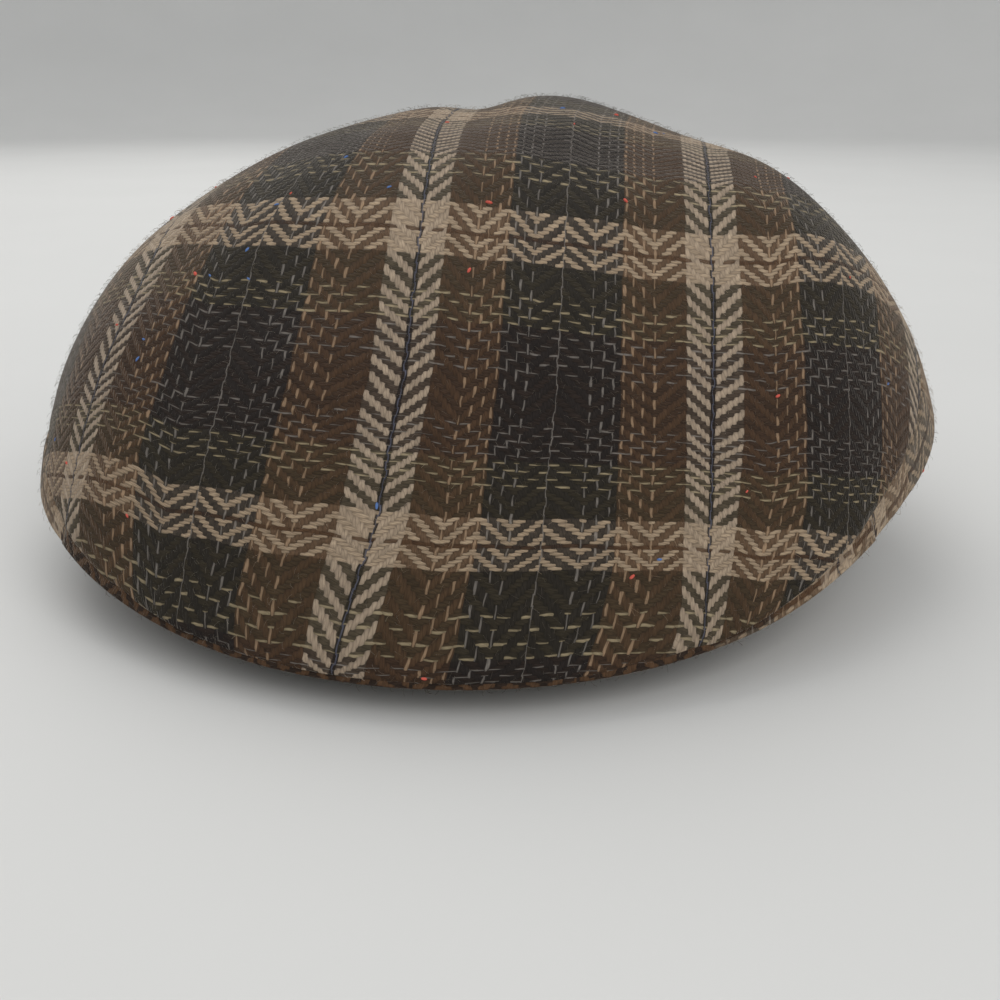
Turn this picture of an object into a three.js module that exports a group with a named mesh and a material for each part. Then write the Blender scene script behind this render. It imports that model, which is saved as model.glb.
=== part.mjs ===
// A flat cap in plaid wool: one full top panel that runs down over the peak, two side panels that
// meet in a centre back seam, and a stiff cloth-covered peak. The cap lies on its hem and sags a
// little towards -X. Millimetres, +Z up, the peak towards -Y.
//
// Everything is measured from the crown point, the highest place of the top panel. A bearing is
// an angle in plan: 0 is the front, 90 is +X, 180 the back and 270 is -X.

import * as THREE from 'three';

// Driving sizes
const CROWN_HEIGHT = 122;       // crown point over the surface that the hem lies on
const CLOTH = 2.2;              // thickness of the top and side panels
const HEM_CLOTH = 3.2;          // folded cloth at the hem
const PEAK_THICKNESS = 4;       // stiffener with its cloth cover
const PEAK_CORNER = 40;         // bearing of the peak's corners, either side of the front
const PEAK_ROLL = { inward: 2.5, down: 1.2 };  // how the peak's edge rolls under
const PEAK_TURN = 0.5;          // share of the peak's thickness that shows as its turned top edge
const PIECE_GAP = 0.3;          // clearance between neighbouring pieces
const CORNER_GAP = 1.6;         // the same at the peak's corners, where three pieces meet
const BACK_SEAM = 180;          // bearing at which the two side panels meet
const WOOL = { top: 0x4a3a2c, side: 0x55432f, peak: 0x3f3226, roughness: 0.95 };

// The head opening is an oval, about 57 cm round, with its middle off the crown point.
const HEAD_OVAL = { x: -14, y: -12, halfWidth: 80, halfLength: 101 };

// One row for each sixteenth of the turn.
// reach: crown point to the outermost fold in plan; fold: height of that fold;
// side: height of the side panel above the fold, along the cloth, which sets the crown seam;
// shoulder: 1 for a full quarter ellipse from crown to fold, less for a flatter slope;
// lift: how far the hem (at the front, the peak's inner edge) is off the surface.
const COMPASS = [
  { bearing: 0.0, reach: 166, fold: 8, side: 2.2, shoulder: 0.94, lift: 24 },
  { bearing: 22.5, reach: 153, fold: 12, side: 2.6, shoulder: 0.95, lift: 17 },
  { bearing: 45.0, reach: 138, fold: 27, side: 9, shoulder: 0.975, lift: 4 },
  { bearing: 67.5, reach: 123.5, fold: 40, side: 19, shoulder: 0.96, lift: 0 },
  { bearing: 90.0, reach: 103, fold: 44, side: 40, shoulder: 0.965, lift: 0 },
  { bearing: 112.5, reach: 95, fold: 42, side: 54, shoulder: 0.985, lift: 0 },
  { bearing: 135.0, reach: 97, fold: 41, side: 59, shoulder: 0.98, lift: 0 },
  { bearing: 157.5, reach: 101, fold: 40, side: 62, shoulder: 0.985, lift: 0 },
  { bearing: 180.0, reach: 104, fold: 40, side: 65, shoulder: 0.985, lift: 0 },
  { bearing: 202.5, reach: 107, fold: 40, side: 63, shoulder: 0.985, lift: 0 },
  { bearing: 225.0, reach: 112, fold: 40, side: 56, shoulder: 0.985, lift: 0 },
  { bearing: 247.5, reach: 123, fold: 40, side: 44, shoulder: 0.985, lift: 0 },
  { bearing: 270.0, reach: 138, fold: 40, side: 29, shoulder: 0.995, lift: 0 },
  { bearing: 292.5, reach: 153, fold: 38, side: 13, shoulder: 0.998, lift: 0 },
  { bearing: 315.0, reach: 168, fold: 21.5, side: 6, shoulder: 0.985, lift: 4 },
  { bearing: 337.5, reach: 170, fold: 10, side: 2.6, shoulder: 0.96, lift: 17 },
];

// Shallow dents in the crown: place, half-widths across and along, and depth.
const DENTS = [
  { x: -23, y: 0, across: 10, along: 58, depth: 3.0 },
  { x: 38, y: 0, across: 25, along: 58, depth: 4.3 },
];
const DENT_FADE = 4;            // the higher, the nearer to the fold the dents keep their depth

// How finely the solids are faceted
const BEARING_STEP = 5;
const TOP_ROWS = 19;
const SIDE_ROWS_ABOVE_FOLD = 7;
const SIDE_ROWS_BELOW_FOLD = 7;
const PEAK_ROWS = 6;

// How finely the seam is searched for and the surface normals are measured
const SEAM_STEPS = 400;
const NORMAL_TURN = 0.05;
const NORMAL_STEP = 0.002;
const NEAREST_TO_CROWN = 0.001;

// Value of one column of the table at any bearing, on a smooth closed curve through its rows.
function ringValue(column, bearing) {
  const count = COMPASS.length;
  const place = (bearing / 360) * count;
  const base = Math.floor(place);
  const t = place - base;
  const [a, b, c, d] = [-1, 0, 1, 2].map((k) => COMPASS[(base + k + 2 * count) % count][column]);
  const slope = c - a;
  const bend = 2 * a - 5 * b + 4 * c - d;
  const twist = 3 * (b - c) + d - a;
  return b + 0.5 * (slope * t + bend * t * t + twist * t * t * t);
}

// Share of the crown's height left at a share of the way out to the fold.
function domeShare(share, shoulder) {
  const floor = Math.sqrt(1 - shoulder * shoulder);
  const round = Math.sqrt(Math.max(0, 1 - (shoulder * share) ** 2));
  return (round - floor) / (1 - floor);
}

// How far the dents lower the crown at a place in plan. They fade out towards the fold.
function dentDepth(x, y, share) {
  const fade = 1 - share ** DENT_FADE;
  return DENTS.reduce((sum, dent) => {
    const across = ((x - dent.x) / dent.across) ** 2;
    const along = ((y - dent.y) / dent.along) ** 2;
    return sum + dent.depth * fade * Math.exp(-across - along);
  }, 0);
}

// Point of the cap's outer form, from the crown point (share 0) out to the fold (share 1).
function crownPoint(bearing, share) {
  const angle = THREE.MathUtils.degToRad(bearing);
  const distance = share * ringValue('reach', bearing);
  const x = distance * Math.sin(angle);
  const y = -distance * Math.cos(angle);
  const fold = ringValue('fold', bearing);
  const rise = (CROWN_HEIGHT - fold) * domeShare(share, ringValue('shoulder', bearing));
  return new THREE.Vector3(x, y, fold + rise - dentDepth(x, y, share));
}

// Point of the side panel below the fold: in and under to the hem, upright at both ends.
function underPoint(bearing, share) {
  const fold = crownPoint(bearing, 1);
  const hem = hemPoint(bearing);
  const tuck = THREE.MathUtils.smoothstep(share, 0, 1);
  const point = fold.clone().lerp(hem, tuck);
  point.z = THREE.MathUtils.lerp(fold.z, hem.z, share);
  return point;
}

// Level direction from the middle of the head opening out to the fold at a bearing.
function headDirection(bearing) {
  const fold = crownPoint(bearing, 1);
  return new THREE.Vector3(fold.x - HEAD_OVAL.x, fold.y - HEAD_OVAL.y, 0).normalize();
}

// Outer edge of the hem at a bearing: where that direction crosses the oval.
function hemPoint(bearing) {
  const direction = headDirection(bearing);
  const radius = 1 / Math.hypot(direction.x / HEAD_OVAL.halfWidth, direction.y / HEAD_OVAL.halfLength);
  const lift = Math.max(0, ringValue('lift', bearing));
  return new THREE.Vector3(HEAD_OVAL.x, HEAD_OVAL.y, lift).addScaledVector(direction, radius);
}

// A point moved level towards the middle of the head opening.
function inward(bearing, point, distance) {
  return point.clone().addScaledVector(headDirection(bearing), -distance);
}

// Share at which the crown seam lies, found by walking in from the fold along the cloth.
// The extra length moves the place down the side, to leave the gap between two pieces.
function seamShare(bearing, extra = 0) {
  const wanted = ringValue('side', bearing) - extra;
  let walked = 0;
  let last = crownPoint(bearing, 1);
  for (let step = 1; step < SEAM_STEPS; step += 1) {
    const share = 1 - step / SEAM_STEPS;
    const next = crownPoint(bearing, share);
    const length = next.distanceTo(last);
    if (walked + length >= wanted) {
      return share + (1 / SEAM_STEPS) * (1 - (wanted - walked) / length);
    }
    walked += length;
    last = next;
  }
  return 0;
}

// Outward normal of a surface given as a function of bearing and share.
function surfaceNormal(surface, bearing, share) {
  const low = Math.max(share - NORMAL_STEP, NEAREST_TO_CROWN);
  const high = Math.min(share + NORMAL_STEP, 1);
  const around = surface(bearing + NORMAL_TURN, share).sub(surface(bearing - NORMAL_TURN, share));
  const outward = surface(bearing, high).sub(surface(bearing, low));
  return outward.cross(around).normalize();
}

// The same place on the inner face of the cloth.
function innerFace(surface, bearing, share) {
  const normal = surfaceNormal(surface, bearing, share);
  return surface(bearing, share).addScaledVector(normal, -CLOTH);
}

// Bearings of a piece's columns: its two ends, and every step of the turn between them.
function bearingsBetween(start, end) {
  const list = [start];
  const first = Math.floor(start / BEARING_STEP + 1) * BEARING_STEP;
  for (let bearing = first; bearing < end; bearing += BEARING_STEP) {
    list.push(bearing);
  }
  list.push(end);
  return list;
}

// Half of the gap between two pieces that meet at a bearing, as an angle.
function halfGapAngle(bearing, gap = PIECE_GAP) {
  return THREE.MathUtils.radToDeg(gap / 2 / ringValue('reach', bearing));
}

// Closed wall through columns of matching outer and inner points. A closed wall runs all the way
// round; an open one has its two ends capped. With a pole, the first points of all columns are one.
function wallGeometry(columns, { closed = false, pole = false } = {}) {
  const rows = columns[0].outer.length;
  const positions = [];
  const indices = [];
  const addPoint = (point) => positions.push(point.x, point.y, point.z) / 3 - 1;
  const addQuad = (a, b, c, d) => {
    if (a !== d) indices.push(a, b, d);
    if (b !== c) indices.push(b, c, d);
  };
  const poles = pole ? [addPoint(columns[0].outer[0]), addPoint(columns[0].inner[0])] : null;
  const grid = columns.map((column) => [column.outer, column.inner].map((points, face) => (
    points.map((point, row) => (pole && row === 0 ? poles[face] : addPoint(point)))
  )));
  const spans = closed ? columns.length : columns.length - 1;
  for (let j = 0; j < spans; j += 1) {
    const [outerHere, innerHere] = grid[j];
    const [outerNext, innerNext] = grid[(j + 1) % columns.length];
    for (let i = 0; i < rows - 1; i += 1) {
      addQuad(outerHere[i], outerHere[i + 1], outerNext[i + 1], outerNext[i]);
      addQuad(innerHere[i + 1], innerHere[i], innerNext[i], innerNext[i + 1]);
    }
    addQuad(outerHere[rows - 1], innerHere[rows - 1], innerNext[rows - 1], outerNext[rows - 1]);
    if (!pole) addQuad(innerHere[0], outerHere[0], outerNext[0], innerNext[0]);
  }
  if (!closed) {
    const [outerFirst, innerFirst] = grid[0];
    const [outerLast, innerLast] = grid[columns.length - 1];
    for (let i = 0; i < rows - 1; i += 1) {
      addQuad(outerFirst[i], innerFirst[i], innerFirst[i + 1], outerFirst[i + 1]);
      addQuad(outerLast[i + 1], innerLast[i + 1], innerLast[i], outerLast[i]);
    }
  }
  const geometry = new THREE.BufferGeometry();
  geometry.setAttribute('position', new THREE.Float32BufferAttribute(positions, 3));
  geometry.setIndex(indices);
  geometry.computeVertexNormals();
  return geometry;
}

// The top panel: from the crown point out to the crown seam, all the way round.
function topPanel() {
  const bearings = bearingsBetween(0, 360).slice(0, -1);
  const columns = bearings.map((bearing) => {
    const edge = seamShare(bearing);
    const outer = [];
    const inner = [];
    for (let row = 0; row <= TOP_ROWS; row += 1) {
      const share = edge * Math.sin((row / TOP_ROWS) * (Math.PI / 2));
      outer.push(crownPoint(bearing, share));
      inner.push(row === 0
        ? new THREE.Vector3(0, 0, outer[0].z - CLOTH)
        : innerFace(crownPoint, bearing, share));
    }
    return { outer, inner };
  });
  return wallGeometry(columns, { closed: true, pole: true });
}

// A side panel between two bearings: from the crown seam over the fold, then under to the hem.
function sidePanel(start, end) {
  const bearings = bearingsBetween(start + halfGapAngle(start), end - halfGapAngle(end));
  const columns = bearings.map((bearing) => {
    const edge = seamShare(bearing, PIECE_GAP);
    const outer = [];
    const inner = [];
    for (let row = 0; row < SIDE_ROWS_ABOVE_FOLD; row += 1) {
      const share = THREE.MathUtils.lerp(edge, 1, row / SIDE_ROWS_ABOVE_FOLD);
      outer.push(crownPoint(bearing, share));
      inner.push(innerFace(crownPoint, bearing, share));
    }
    for (let row = 0; row < SIDE_ROWS_BELOW_FOLD; row += 1) {
      const share = row / SIDE_ROWS_BELOW_FOLD;
      outer.push(underPoint(bearing, share));
      inner.push(innerFace(underPoint, bearing, share));
    }
    outer.push(hemPoint(bearing));
    inner.push(inward(bearing, hemPoint(bearing), HEM_CLOTH));
    return { outer, inner };
  });
  return wallGeometry(columns);
}

// The peak: a strip of its edge shows below the crown seam, rolls under, and runs back to the
// front of the head opening. Its upper face stays under the top panel.
function peakPlate() {
  const start = -PEAK_CORNER + halfGapAngle(-PEAK_CORNER, CORNER_GAP);
  const end = PEAK_CORNER - halfGapAngle(PEAK_CORNER, CORNER_GAP);
  const columns = bearingsBetween(start, end).map((bearing) => {
    const edge = seamShare(bearing, PIECE_GAP);
    const edgeNormal = surfaceNormal(crownPoint, bearing, edge);
    const edgeTop = crownPoint(bearing, edge);
    const underTop = edgeTop.clone().addScaledVector(edgeNormal, -CLOTH - PIECE_GAP);
    const fold = crownPoint(bearing, 1);
    const roll = inward(bearing, fold, PEAK_ROLL.inward);
    roll.z -= PEAK_ROLL.down;
    const hem = hemPoint(bearing);
    const hemTop = hem.clone().setZ(hem.z + PEAK_THICKNESS);
    const outer = [edgeTop, fold];
    const inner = [edgeTop.clone().lerp(underTop, PEAK_TURN), underTop];
    for (let row = 0; row <= PEAK_ROWS; row += 1) {
      outer.push(roll.clone().lerp(hem, row / PEAK_ROWS));
      inner.push(underTop.clone().lerp(hemTop, (row + 1) / (PEAK_ROWS + 1)));
    }
    return { outer, inner };
  });
  return wallGeometry(columns);
}

// One named piece in brown wool.
function piece(name, geometry, colour) {
  const material = new THREE.MeshStandardMaterial({ color: colour, roughness: WOOL.roughness });
  const mesh = new THREE.Mesh(geometry, material);
  mesh.name = name;
  return mesh;
}

const cap = new THREE.Group();
cap.add(piece('crown_top', topPanel(), WOOL.top));
cap.add(piece('side_right', sidePanel(PEAK_CORNER, BACK_SEAM), WOOL.side));
cap.add(piece('side_left', sidePanel(BACK_SEAM, 360 - PEAK_CORNER), WOOL.side));
cap.add(piece('peak', peakPlate(), WOOL.peak));

// The origin is the middle of the cap's outline, on the surface that it lies on.
const outline = new THREE.Box3().setFromObject(cap);
const middle = outline.getCenter(new THREE.Vector3());
cap.position.set(-middle.x, -middle.y, -outline.min.z);

export default cap;
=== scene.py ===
"""A flat cap in woollen herringbone plaid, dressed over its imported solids.

The cap is one rounded form about a crown point. A short table gives its sizes at sixteen bearings,
counted from the front of the peak towards +X. The top panel, the two side panels and the peak are cut
from that form.

The form's sizes are millimetres about the crown point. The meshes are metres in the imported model's
frame.
"""

import logging
import math
from collections.abc import Callable
from dataclasses import dataclass
from enum import Enum

import bmesh
import bpy
import numpy as np
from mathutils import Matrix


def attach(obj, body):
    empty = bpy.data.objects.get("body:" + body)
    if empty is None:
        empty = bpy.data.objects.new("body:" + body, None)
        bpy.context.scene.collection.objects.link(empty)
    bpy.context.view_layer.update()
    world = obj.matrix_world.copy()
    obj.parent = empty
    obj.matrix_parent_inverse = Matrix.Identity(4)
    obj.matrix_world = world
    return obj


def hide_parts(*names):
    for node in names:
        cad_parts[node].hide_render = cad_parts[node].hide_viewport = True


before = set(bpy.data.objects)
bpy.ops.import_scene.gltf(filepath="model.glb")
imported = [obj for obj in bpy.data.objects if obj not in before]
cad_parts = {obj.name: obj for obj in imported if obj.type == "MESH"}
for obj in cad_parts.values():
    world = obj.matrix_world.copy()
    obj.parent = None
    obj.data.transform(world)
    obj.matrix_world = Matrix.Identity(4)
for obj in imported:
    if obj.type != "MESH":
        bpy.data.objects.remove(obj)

Array = np.ndarray
Faces = list[tuple[int, ...]]
Place = tuple[float, float, float]
Colour = tuple[float, float, float, float]
Socket = bpy.types.NodeSocket
Value = Socket | float | tuple[float, ...]
Surface = Callable[[Array, Array], Array]

log = logging.getLogger("flat_cap")

MM = 0.001
BODY = "root"
YARNS = "yarns"
UP = np.array([0.0, 0.0, 1.0])

# A yarn's middle is half a yarn on from the whole count at its edge.
HALF_YARN = 0.5

# The middle value of a noise that goes from 0 to 1.
NOISE_MIDDLE = 0.5

# Millimetres off the crown point, where the point's own yarn counts are read.
BESIDE_CROWN = 1e-6

# Bearings of the peak's right corner and of the back seam, in degrees.
PEAK_CORNER = 40.0
BACK_SEAM = 180.0


@dataclass(frozen=True)
class Bearing:
    """Sizes of the form at one bearing, in millimetres.

    The reach is the level distance from the crown point out to the fold, and fold is the fold's height.
    Side is the cloth between the fold and the crown seam. Shoulder is how square the dome is, and lift is
    the hem's height.
    """

    reach: float
    fold: float
    side: float
    shoulder: float
    lift: float


# One row for each 22.5 degrees, from the front towards +X: reach, fold, side, shoulder, lift.
COMPASS: tuple[Bearing, ...] = (
    Bearing(166.0, 8.0, 2.2, 0.940, 24.0),
    Bearing(153.0, 12.0, 2.6, 0.950, 17.0),
    Bearing(138.0, 27.0, 9.0, 0.975, 4.0),
    Bearing(123.5, 40.0, 19.0, 0.960, 0.0),
    Bearing(103.0, 44.0, 40.0, 0.965, 0.0),
    Bearing(95.0, 42.0, 54.0, 0.985, 0.0),
    Bearing(97.0, 41.0, 59.0, 0.980, 0.0),
    Bearing(101.0, 40.0, 62.0, 0.985, 0.0),
    Bearing(104.0, 40.0, 65.0, 0.985, 0.0),
    Bearing(107.0, 40.0, 63.0, 0.985, 0.0),
    Bearing(112.0, 40.0, 56.0, 0.985, 0.0),
    Bearing(123.0, 40.0, 44.0, 0.985, 0.0),
    Bearing(138.0, 40.0, 29.0, 0.995, 0.0),
    Bearing(153.0, 38.0, 13.0, 0.998, 0.0),
    Bearing(168.0, 21.5, 6.0, 0.985, 4.0),
    Bearing(170.0, 10.0, 2.6, 0.960, 17.0),
)


@dataclass(frozen=True)
class Dent:
    """A shallow hollow in the crown, lowest at x and y."""

    x: float
    y: float
    across: float
    along: float
    depth: float


DENTS: tuple[Dent, ...] = (
    Dent(x=-23.0, y=0.0, across=10.0, along=58.0, depth=3.0),
    Dent(x=38.0, y=0.0, across=25.0, along=58.0, depth=4.3),
)


def blend(start: Array, end: Array, share: Array) -> Array:
    """Goes from start to end by a share."""
    return start + (end - start) * share


def length_of(vectors: Array) -> Array:
    """Gives the lengths of vectors along the last axis."""
    return np.linalg.norm(vectors, axis=-1, keepdims=True)


def walked(points: Array) -> Array:
    """Measures along rows of points, from nothing at the start of each row."""
    steps = length_of(np.diff(points, axis=1))[..., 0]
    return np.concatenate([np.zeros((len(steps), 1)), np.cumsum(steps, axis=1)], axis=1)


@dataclass(frozen=True)
class CapForm:
    """The outer form that all the pieces are cut from, in millimetres about the crown point."""

    crown_height: float = 122.0
    crown_x: float = 14.431
    crown_y: float = 31.371
    cloth: float = 2.2
    hem_cloth: float = 3.2
    dent_fade: float = 4.0
    head_x: float = -14.0
    head_y: float = -12.0
    head_half_width: float = 80.0
    head_half_length: float = 101.0
    seam_steps: int = 400
    normal_turn: float = 0.05
    normal_step: float = 0.002
    nearest_to_crown: float = 0.001

    def ring(self, column: str, bearing: Array) -> Array:
        """Reads one column of the compass table on a smooth closed curve.

        Args:
            column: Name of the column.
            bearing: Bearings in degrees.

        Returns:
            The column's value at each bearing.
        """
        values = np.array([getattr(row, column) for row in COMPASS])
        place = np.asarray(bearing, float) / 360.0 * len(values)
        base = np.floor(place).astype(int)
        t = place - base
        before, here, after, beyond = (values[(base + k) % len(values)] for k in (-1, 0, 1, 2))
        slope = after - before
        bend = 2 * before - 5 * here + 4 * after - beyond
        twist = 3 * (here - after) + beyond - before
        return here + 0.5 * (slope * t + bend * t**2 + twist * t**3)

    def dome_share(self, share: Array, shoulder: Array) -> Array:
        """Gives the share of the crown's height that is left at a share of the way out to the fold."""
        floor = np.sqrt(1 - shoulder**2)
        return (np.sqrt(np.clip(1 - (shoulder * share) ** 2, 0, None)) - floor) / (1 - floor)

    def dent_depth(self, x: Array, y: Array, share: Array) -> Array:
        """Gives how far the dents lower the crown. They fade out towards the fold.

        Args:
            x: Places across the cap.
            y: Places along the cap.
            share: Shares of the way from the crown point out to the fold.

        Returns:
            The depth at each place.
        """
        fade = 1 - share**self.dent_fade
        total = np.zeros_like(fade)
        for dent in DENTS:
            across = (x - dent.x) / dent.across
            along = (y - dent.y) / dent.along
            total = total + dent.depth * fade * np.exp(-(across**2) - along**2)
        return total

    def dome_height(self, bearing: Array, share: Array, x: Array, y: Array) -> Array:
        """Gives the outer form's height.

        Args:
            bearing: Bearings in degrees.
            share: Shares of the way from the crown point out to the fold.
            x: The same places in plan, across the cap.
            y: The same places in plan, along the cap.

        Returns:
            The height at each place.
        """
        fold = self.ring("fold", bearing)
        rise = (self.crown_height - fold) * self.dome_share(share, self.ring("shoulder", bearing))
        return fold + rise - self.dent_depth(x, y, share)

    def crown_point(self, bearing: Array, share: Array) -> Array:
        """Gives points of the outer form, from the crown point (share 0) out to the fold (share 1).

        Args:
            bearing: Bearings in degrees.
            share: Shares of the way out.

        Returns:
            Points, with x, y and z on the last axis.
        """
        bearing, share = np.broadcast_arrays(np.asarray(bearing, float), np.asarray(share, float))
        angle = np.radians(bearing)
        distance = share * self.ring("reach", bearing)
        x = distance * np.sin(angle)
        y = -distance * np.cos(angle)
        return np.stack([x, y, self.dome_height(bearing, share, x, y)], axis=-1)

    def height(self, x: Array, y: Array) -> Array:
        """Gives the outer form's height over places in plan, level outside the fold.

        Args:
            x: Places across the cap.
            y: Places along the cap.

        Returns:
            The height at each place.
        """
        bearing = np.degrees(np.arctan2(x, -y)) % 360.0
        share = np.clip(np.hypot(x, y) / self.ring("reach", bearing), 0.0, 1.0)
        return self.dome_height(bearing, share, x, y)

    @property
    def head_middle(self) -> Array:
        """Gives the middle of the head opening."""
        return np.array([self.head_x, self.head_y, 0.0])

    def head_direction(self, bearing: Array) -> Array:
        """Gives the level direction from the middle of the head opening out to the fold.

        Args:
            bearing: Bearings in degrees.

        Returns:
            Directions of length 1, with x, y and z on the last axis.
        """
        level = self.crown_point(bearing, 1.0) - self.head_middle
        level[..., 2] = 0.0
        return level / length_of(level)

    def hem_point(self, bearing: Array) -> Array:
        """Gives the hem's outer edge: where the head direction crosses the oval of the head opening.

        Args:
            bearing: Bearings in degrees.

        Returns:
            Points, with x, y and z on the last axis.
        """
        direction = self.head_direction(bearing)
        across = direction[..., 0] / self.head_half_width
        along = direction[..., 1] / self.head_half_length
        radius = 1 / np.hypot(across, along)
        hem = self.head_middle + direction * radius[..., None]
        hem[..., 2] = np.maximum(0.0, self.ring("lift", bearing))
        return hem

    def under_point(self, bearing: Array, share: Array) -> Array:
        """Gives points of the side below the fold: in and under to the hem, upright at both ends.

        Args:
            bearing: Bearings in degrees.
            share: Shares of the way from the fold down to the hem.

        Returns:
            Points, with x, y and z on the last axis.
        """
        bearing, share = np.broadcast_arrays(np.asarray(bearing, float), np.asarray(share, float))
        fold = self.crown_point(bearing, 1.0)
        hem = self.hem_point(bearing)
        tuck = (share**2 * (3 - 2 * share))[..., None]
        points = blend(fold, hem, tuck)
        points[..., 2] = blend(fold[..., 2], hem[..., 2], share)
        return points

    def seam_share(self, bearing: Array, extra: float = 0.0) -> Array:
        """Finds the share at which the crown seam lies, by walking in from the fold along the cloth.

        Args:
            bearing: Bearings in degrees, in one row.
            extra: Millimetres by which the place moves down the side.

        Returns:
            The seam's share at each bearing.
        """
        shares = np.linspace(1.0, 0.0, self.seam_steps + 1)
        points = self.crown_point(np.asarray(bearing)[:, None], shares[None, :])
        wanted = self.ring("side", bearing) - extra
        return np.array([np.interp(goal, walk, shares) for goal, walk in zip(wanted, walked(points))])

    def normal(self, surface: Surface, bearing: Array, share: Array) -> Array:
        """Gives the outward normals of a surface of bearing and share.

        Args:
            surface: Function that gives the surface's points.
            bearing: Bearings in degrees.
            share: Shares of the way along the surface.

        Returns:
            Normals of length 1, with x, y and z on the last axis.
        """
        low = np.maximum(share - self.normal_step, self.nearest_to_crown)
        high = np.minimum(share + self.normal_step, 1.0)
        around = surface(bearing + self.normal_turn, share) - surface(bearing - self.normal_turn, share)
        outward = surface(bearing, high) - surface(bearing, low)
        normal = np.cross(outward, around)
        return normal / length_of(normal)

    def placed(self, points: Array) -> Array:
        """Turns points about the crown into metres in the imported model's frame."""
        return (points + np.array([self.crown_x, self.crown_y, 0.0])) * MM


@dataclass(frozen=True)
class ClothUnevenness:
    """Small swells of soft cloth, and puckers along its sewn edges, in millimetres."""

    seed: int
    swell: float = 0.30
    shortest: float = 34.0
    longest: float = 90.0
    waves: int = 9
    pucker: float = 0.14
    pucker_reach: float = 9.0
    pucker_counts: tuple[int, ...] = (19, 31, 46, 67)

    def swells(self, x: Array, y: Array) -> Array:
        """Gives how far the cloth swells out over places in plan.

        Args:
            x: Places across the cap.
            y: Places along the cap.

        Returns:
            Millimetres outwards at each place.
        """
        rng = np.random.default_rng(self.seed)
        total = np.zeros_like(x)
        for _ in range(self.waves):
            turn = rng.uniform(0.0, 2 * math.pi)
            wavelength = rng.uniform(self.shortest, self.longest)
            start = rng.uniform(0.0, 2 * math.pi)
            run = (x * math.cos(turn) + y * math.sin(turn)) * 2 * math.pi / wavelength
            total = total + np.sin(run + start)
        return self.swell * total / math.sqrt(self.waves / 2)

    def puckers(self, bearing: Array, from_edge: Array) -> Array:
        """Gives how far the cloth puckers at a distance from its sewn edge.

        Args:
            bearing: Bearings in degrees.
            from_edge: Millimetres from the edge.

        Returns:
            Millimetres outwards at each place.
        """
        rng = np.random.default_rng(self.seed + 1)
        total = np.zeros_like(bearing)
        for count in self.pucker_counts:
            total = total + np.sin(np.radians(bearing) * count + rng.uniform(0.0, 2 * math.pi))
        fade = np.exp(-from_edge / self.pucker_reach)
        return self.pucker * total * fade / math.sqrt(len(self.pucker_counts) / 2)


@dataclass(frozen=True)
class YarnPitch:
    """Distance between neighbouring yarns, in millimetres."""

    end: float = 1.19
    pick: float = 1.17


@dataclass(frozen=True)
class Stripe:
    """A lengthwise stripe of the top panel.

    It has the end at its middle, and its places across the cap from back to front.
    """

    end: float
    across: tuple[float, ...]


@dataclass(frozen=True)
class Band:
    """The upper light band of the top panel, at one place across the cap.

    The spacing is the distance from it to the next light band at the front.
    """

    x: float
    y: float
    spacing: float


# Places along the cap, back to front, at which the stripes' places across it are given.
STRIPE_PLACES: tuple[float, ...] = (-36.0, -97.0, -130.0, -152.0, -166.0)

# Light and dark stripes in turn, from left to right.
STRIPES: tuple[Stripe, ...] = (
    Stripe(-60.0, (-104.0, -101.0, -108.0, -112.0, -114.0)),
    Stripe(-30.0, (-58.0, -64.0, -63.0, -66.0, -70.0)),
    Stripe(0.0, (-29.5, -22.0, -18.7, -20.2, -28.0)),
    Stripe(30.0, (9.0, 13.0, 15.0, 14.5, 12.0)),
    Stripe(60.0, (45.5, 48.5, 50.0, 50.0, 47.0)),
    Stripe(90.0, (80.0, 83.0, 82.0, 80.0, 78.0)),
)

BANDS: tuple[Band, ...] = (
    Band(-132.0, -42.0, 80.0),
    Band(-110.0, -61.0, 81.2),
    Band(-73.0, -86.0, 81.0),
    Band(-46.0, -93.5, 82.0),
    Band(-22.0, -97.4, 82.0),
    Band(-4.6, -99.7, 79.6),
    Band(12.0, -99.2, 77.0),
    Band(31.0, -95.4, 74.6),
    Band(48.0, -89.1, 74.2),
    Band(62.4, -81.5, 77.2),
    Band(82.0, -63.1, 84.0),
    Band(105.0, -38.0, 84.0),
    Band(122.0, -20.0, 84.0),
)


@dataclass(frozen=True)
class PickCount:
    """Picks counted from the upper light band's middle, at a distance from it in spacings of the bands."""

    distance: float
    picks: float


STRIPE_ENDS = 60
BAND_PICKS = 72

# From the front edge to the back. The cloth is drawn tighter in some places than in others.
PICK_COUNTS: tuple[PickCount, ...] = (
    PickCount(-3.361, -242.0),
    PickCount(-1.361, -98.0),
    PickCount(-1.327, -94.0),
    PickCount(-1.295, -92.0),
    PickCount(-1.183, -86.0),
    PickCount(-1.064, -78.5),
    PickCount(-1.0, -72.0),
    PickCount(-0.921, -65.5),
    PickCount(-0.826, -58.0),
    PickCount(-0.654, -42.0),
    PickCount(-0.483, -30.0),
    PickCount(-0.243, -14.0),
    PickCount(-0.099, -6.5),
    PickCount(0.0, 0.0),
    PickCount(0.134, 6.5),
    PickCount(0.302, 14.0),
    PickCount(0.441, 20.0),
    PickCount(0.556, 36.0),
    PickCount(0.93, 72.0),
    PickCount(4.93, 360.0),
)


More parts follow.
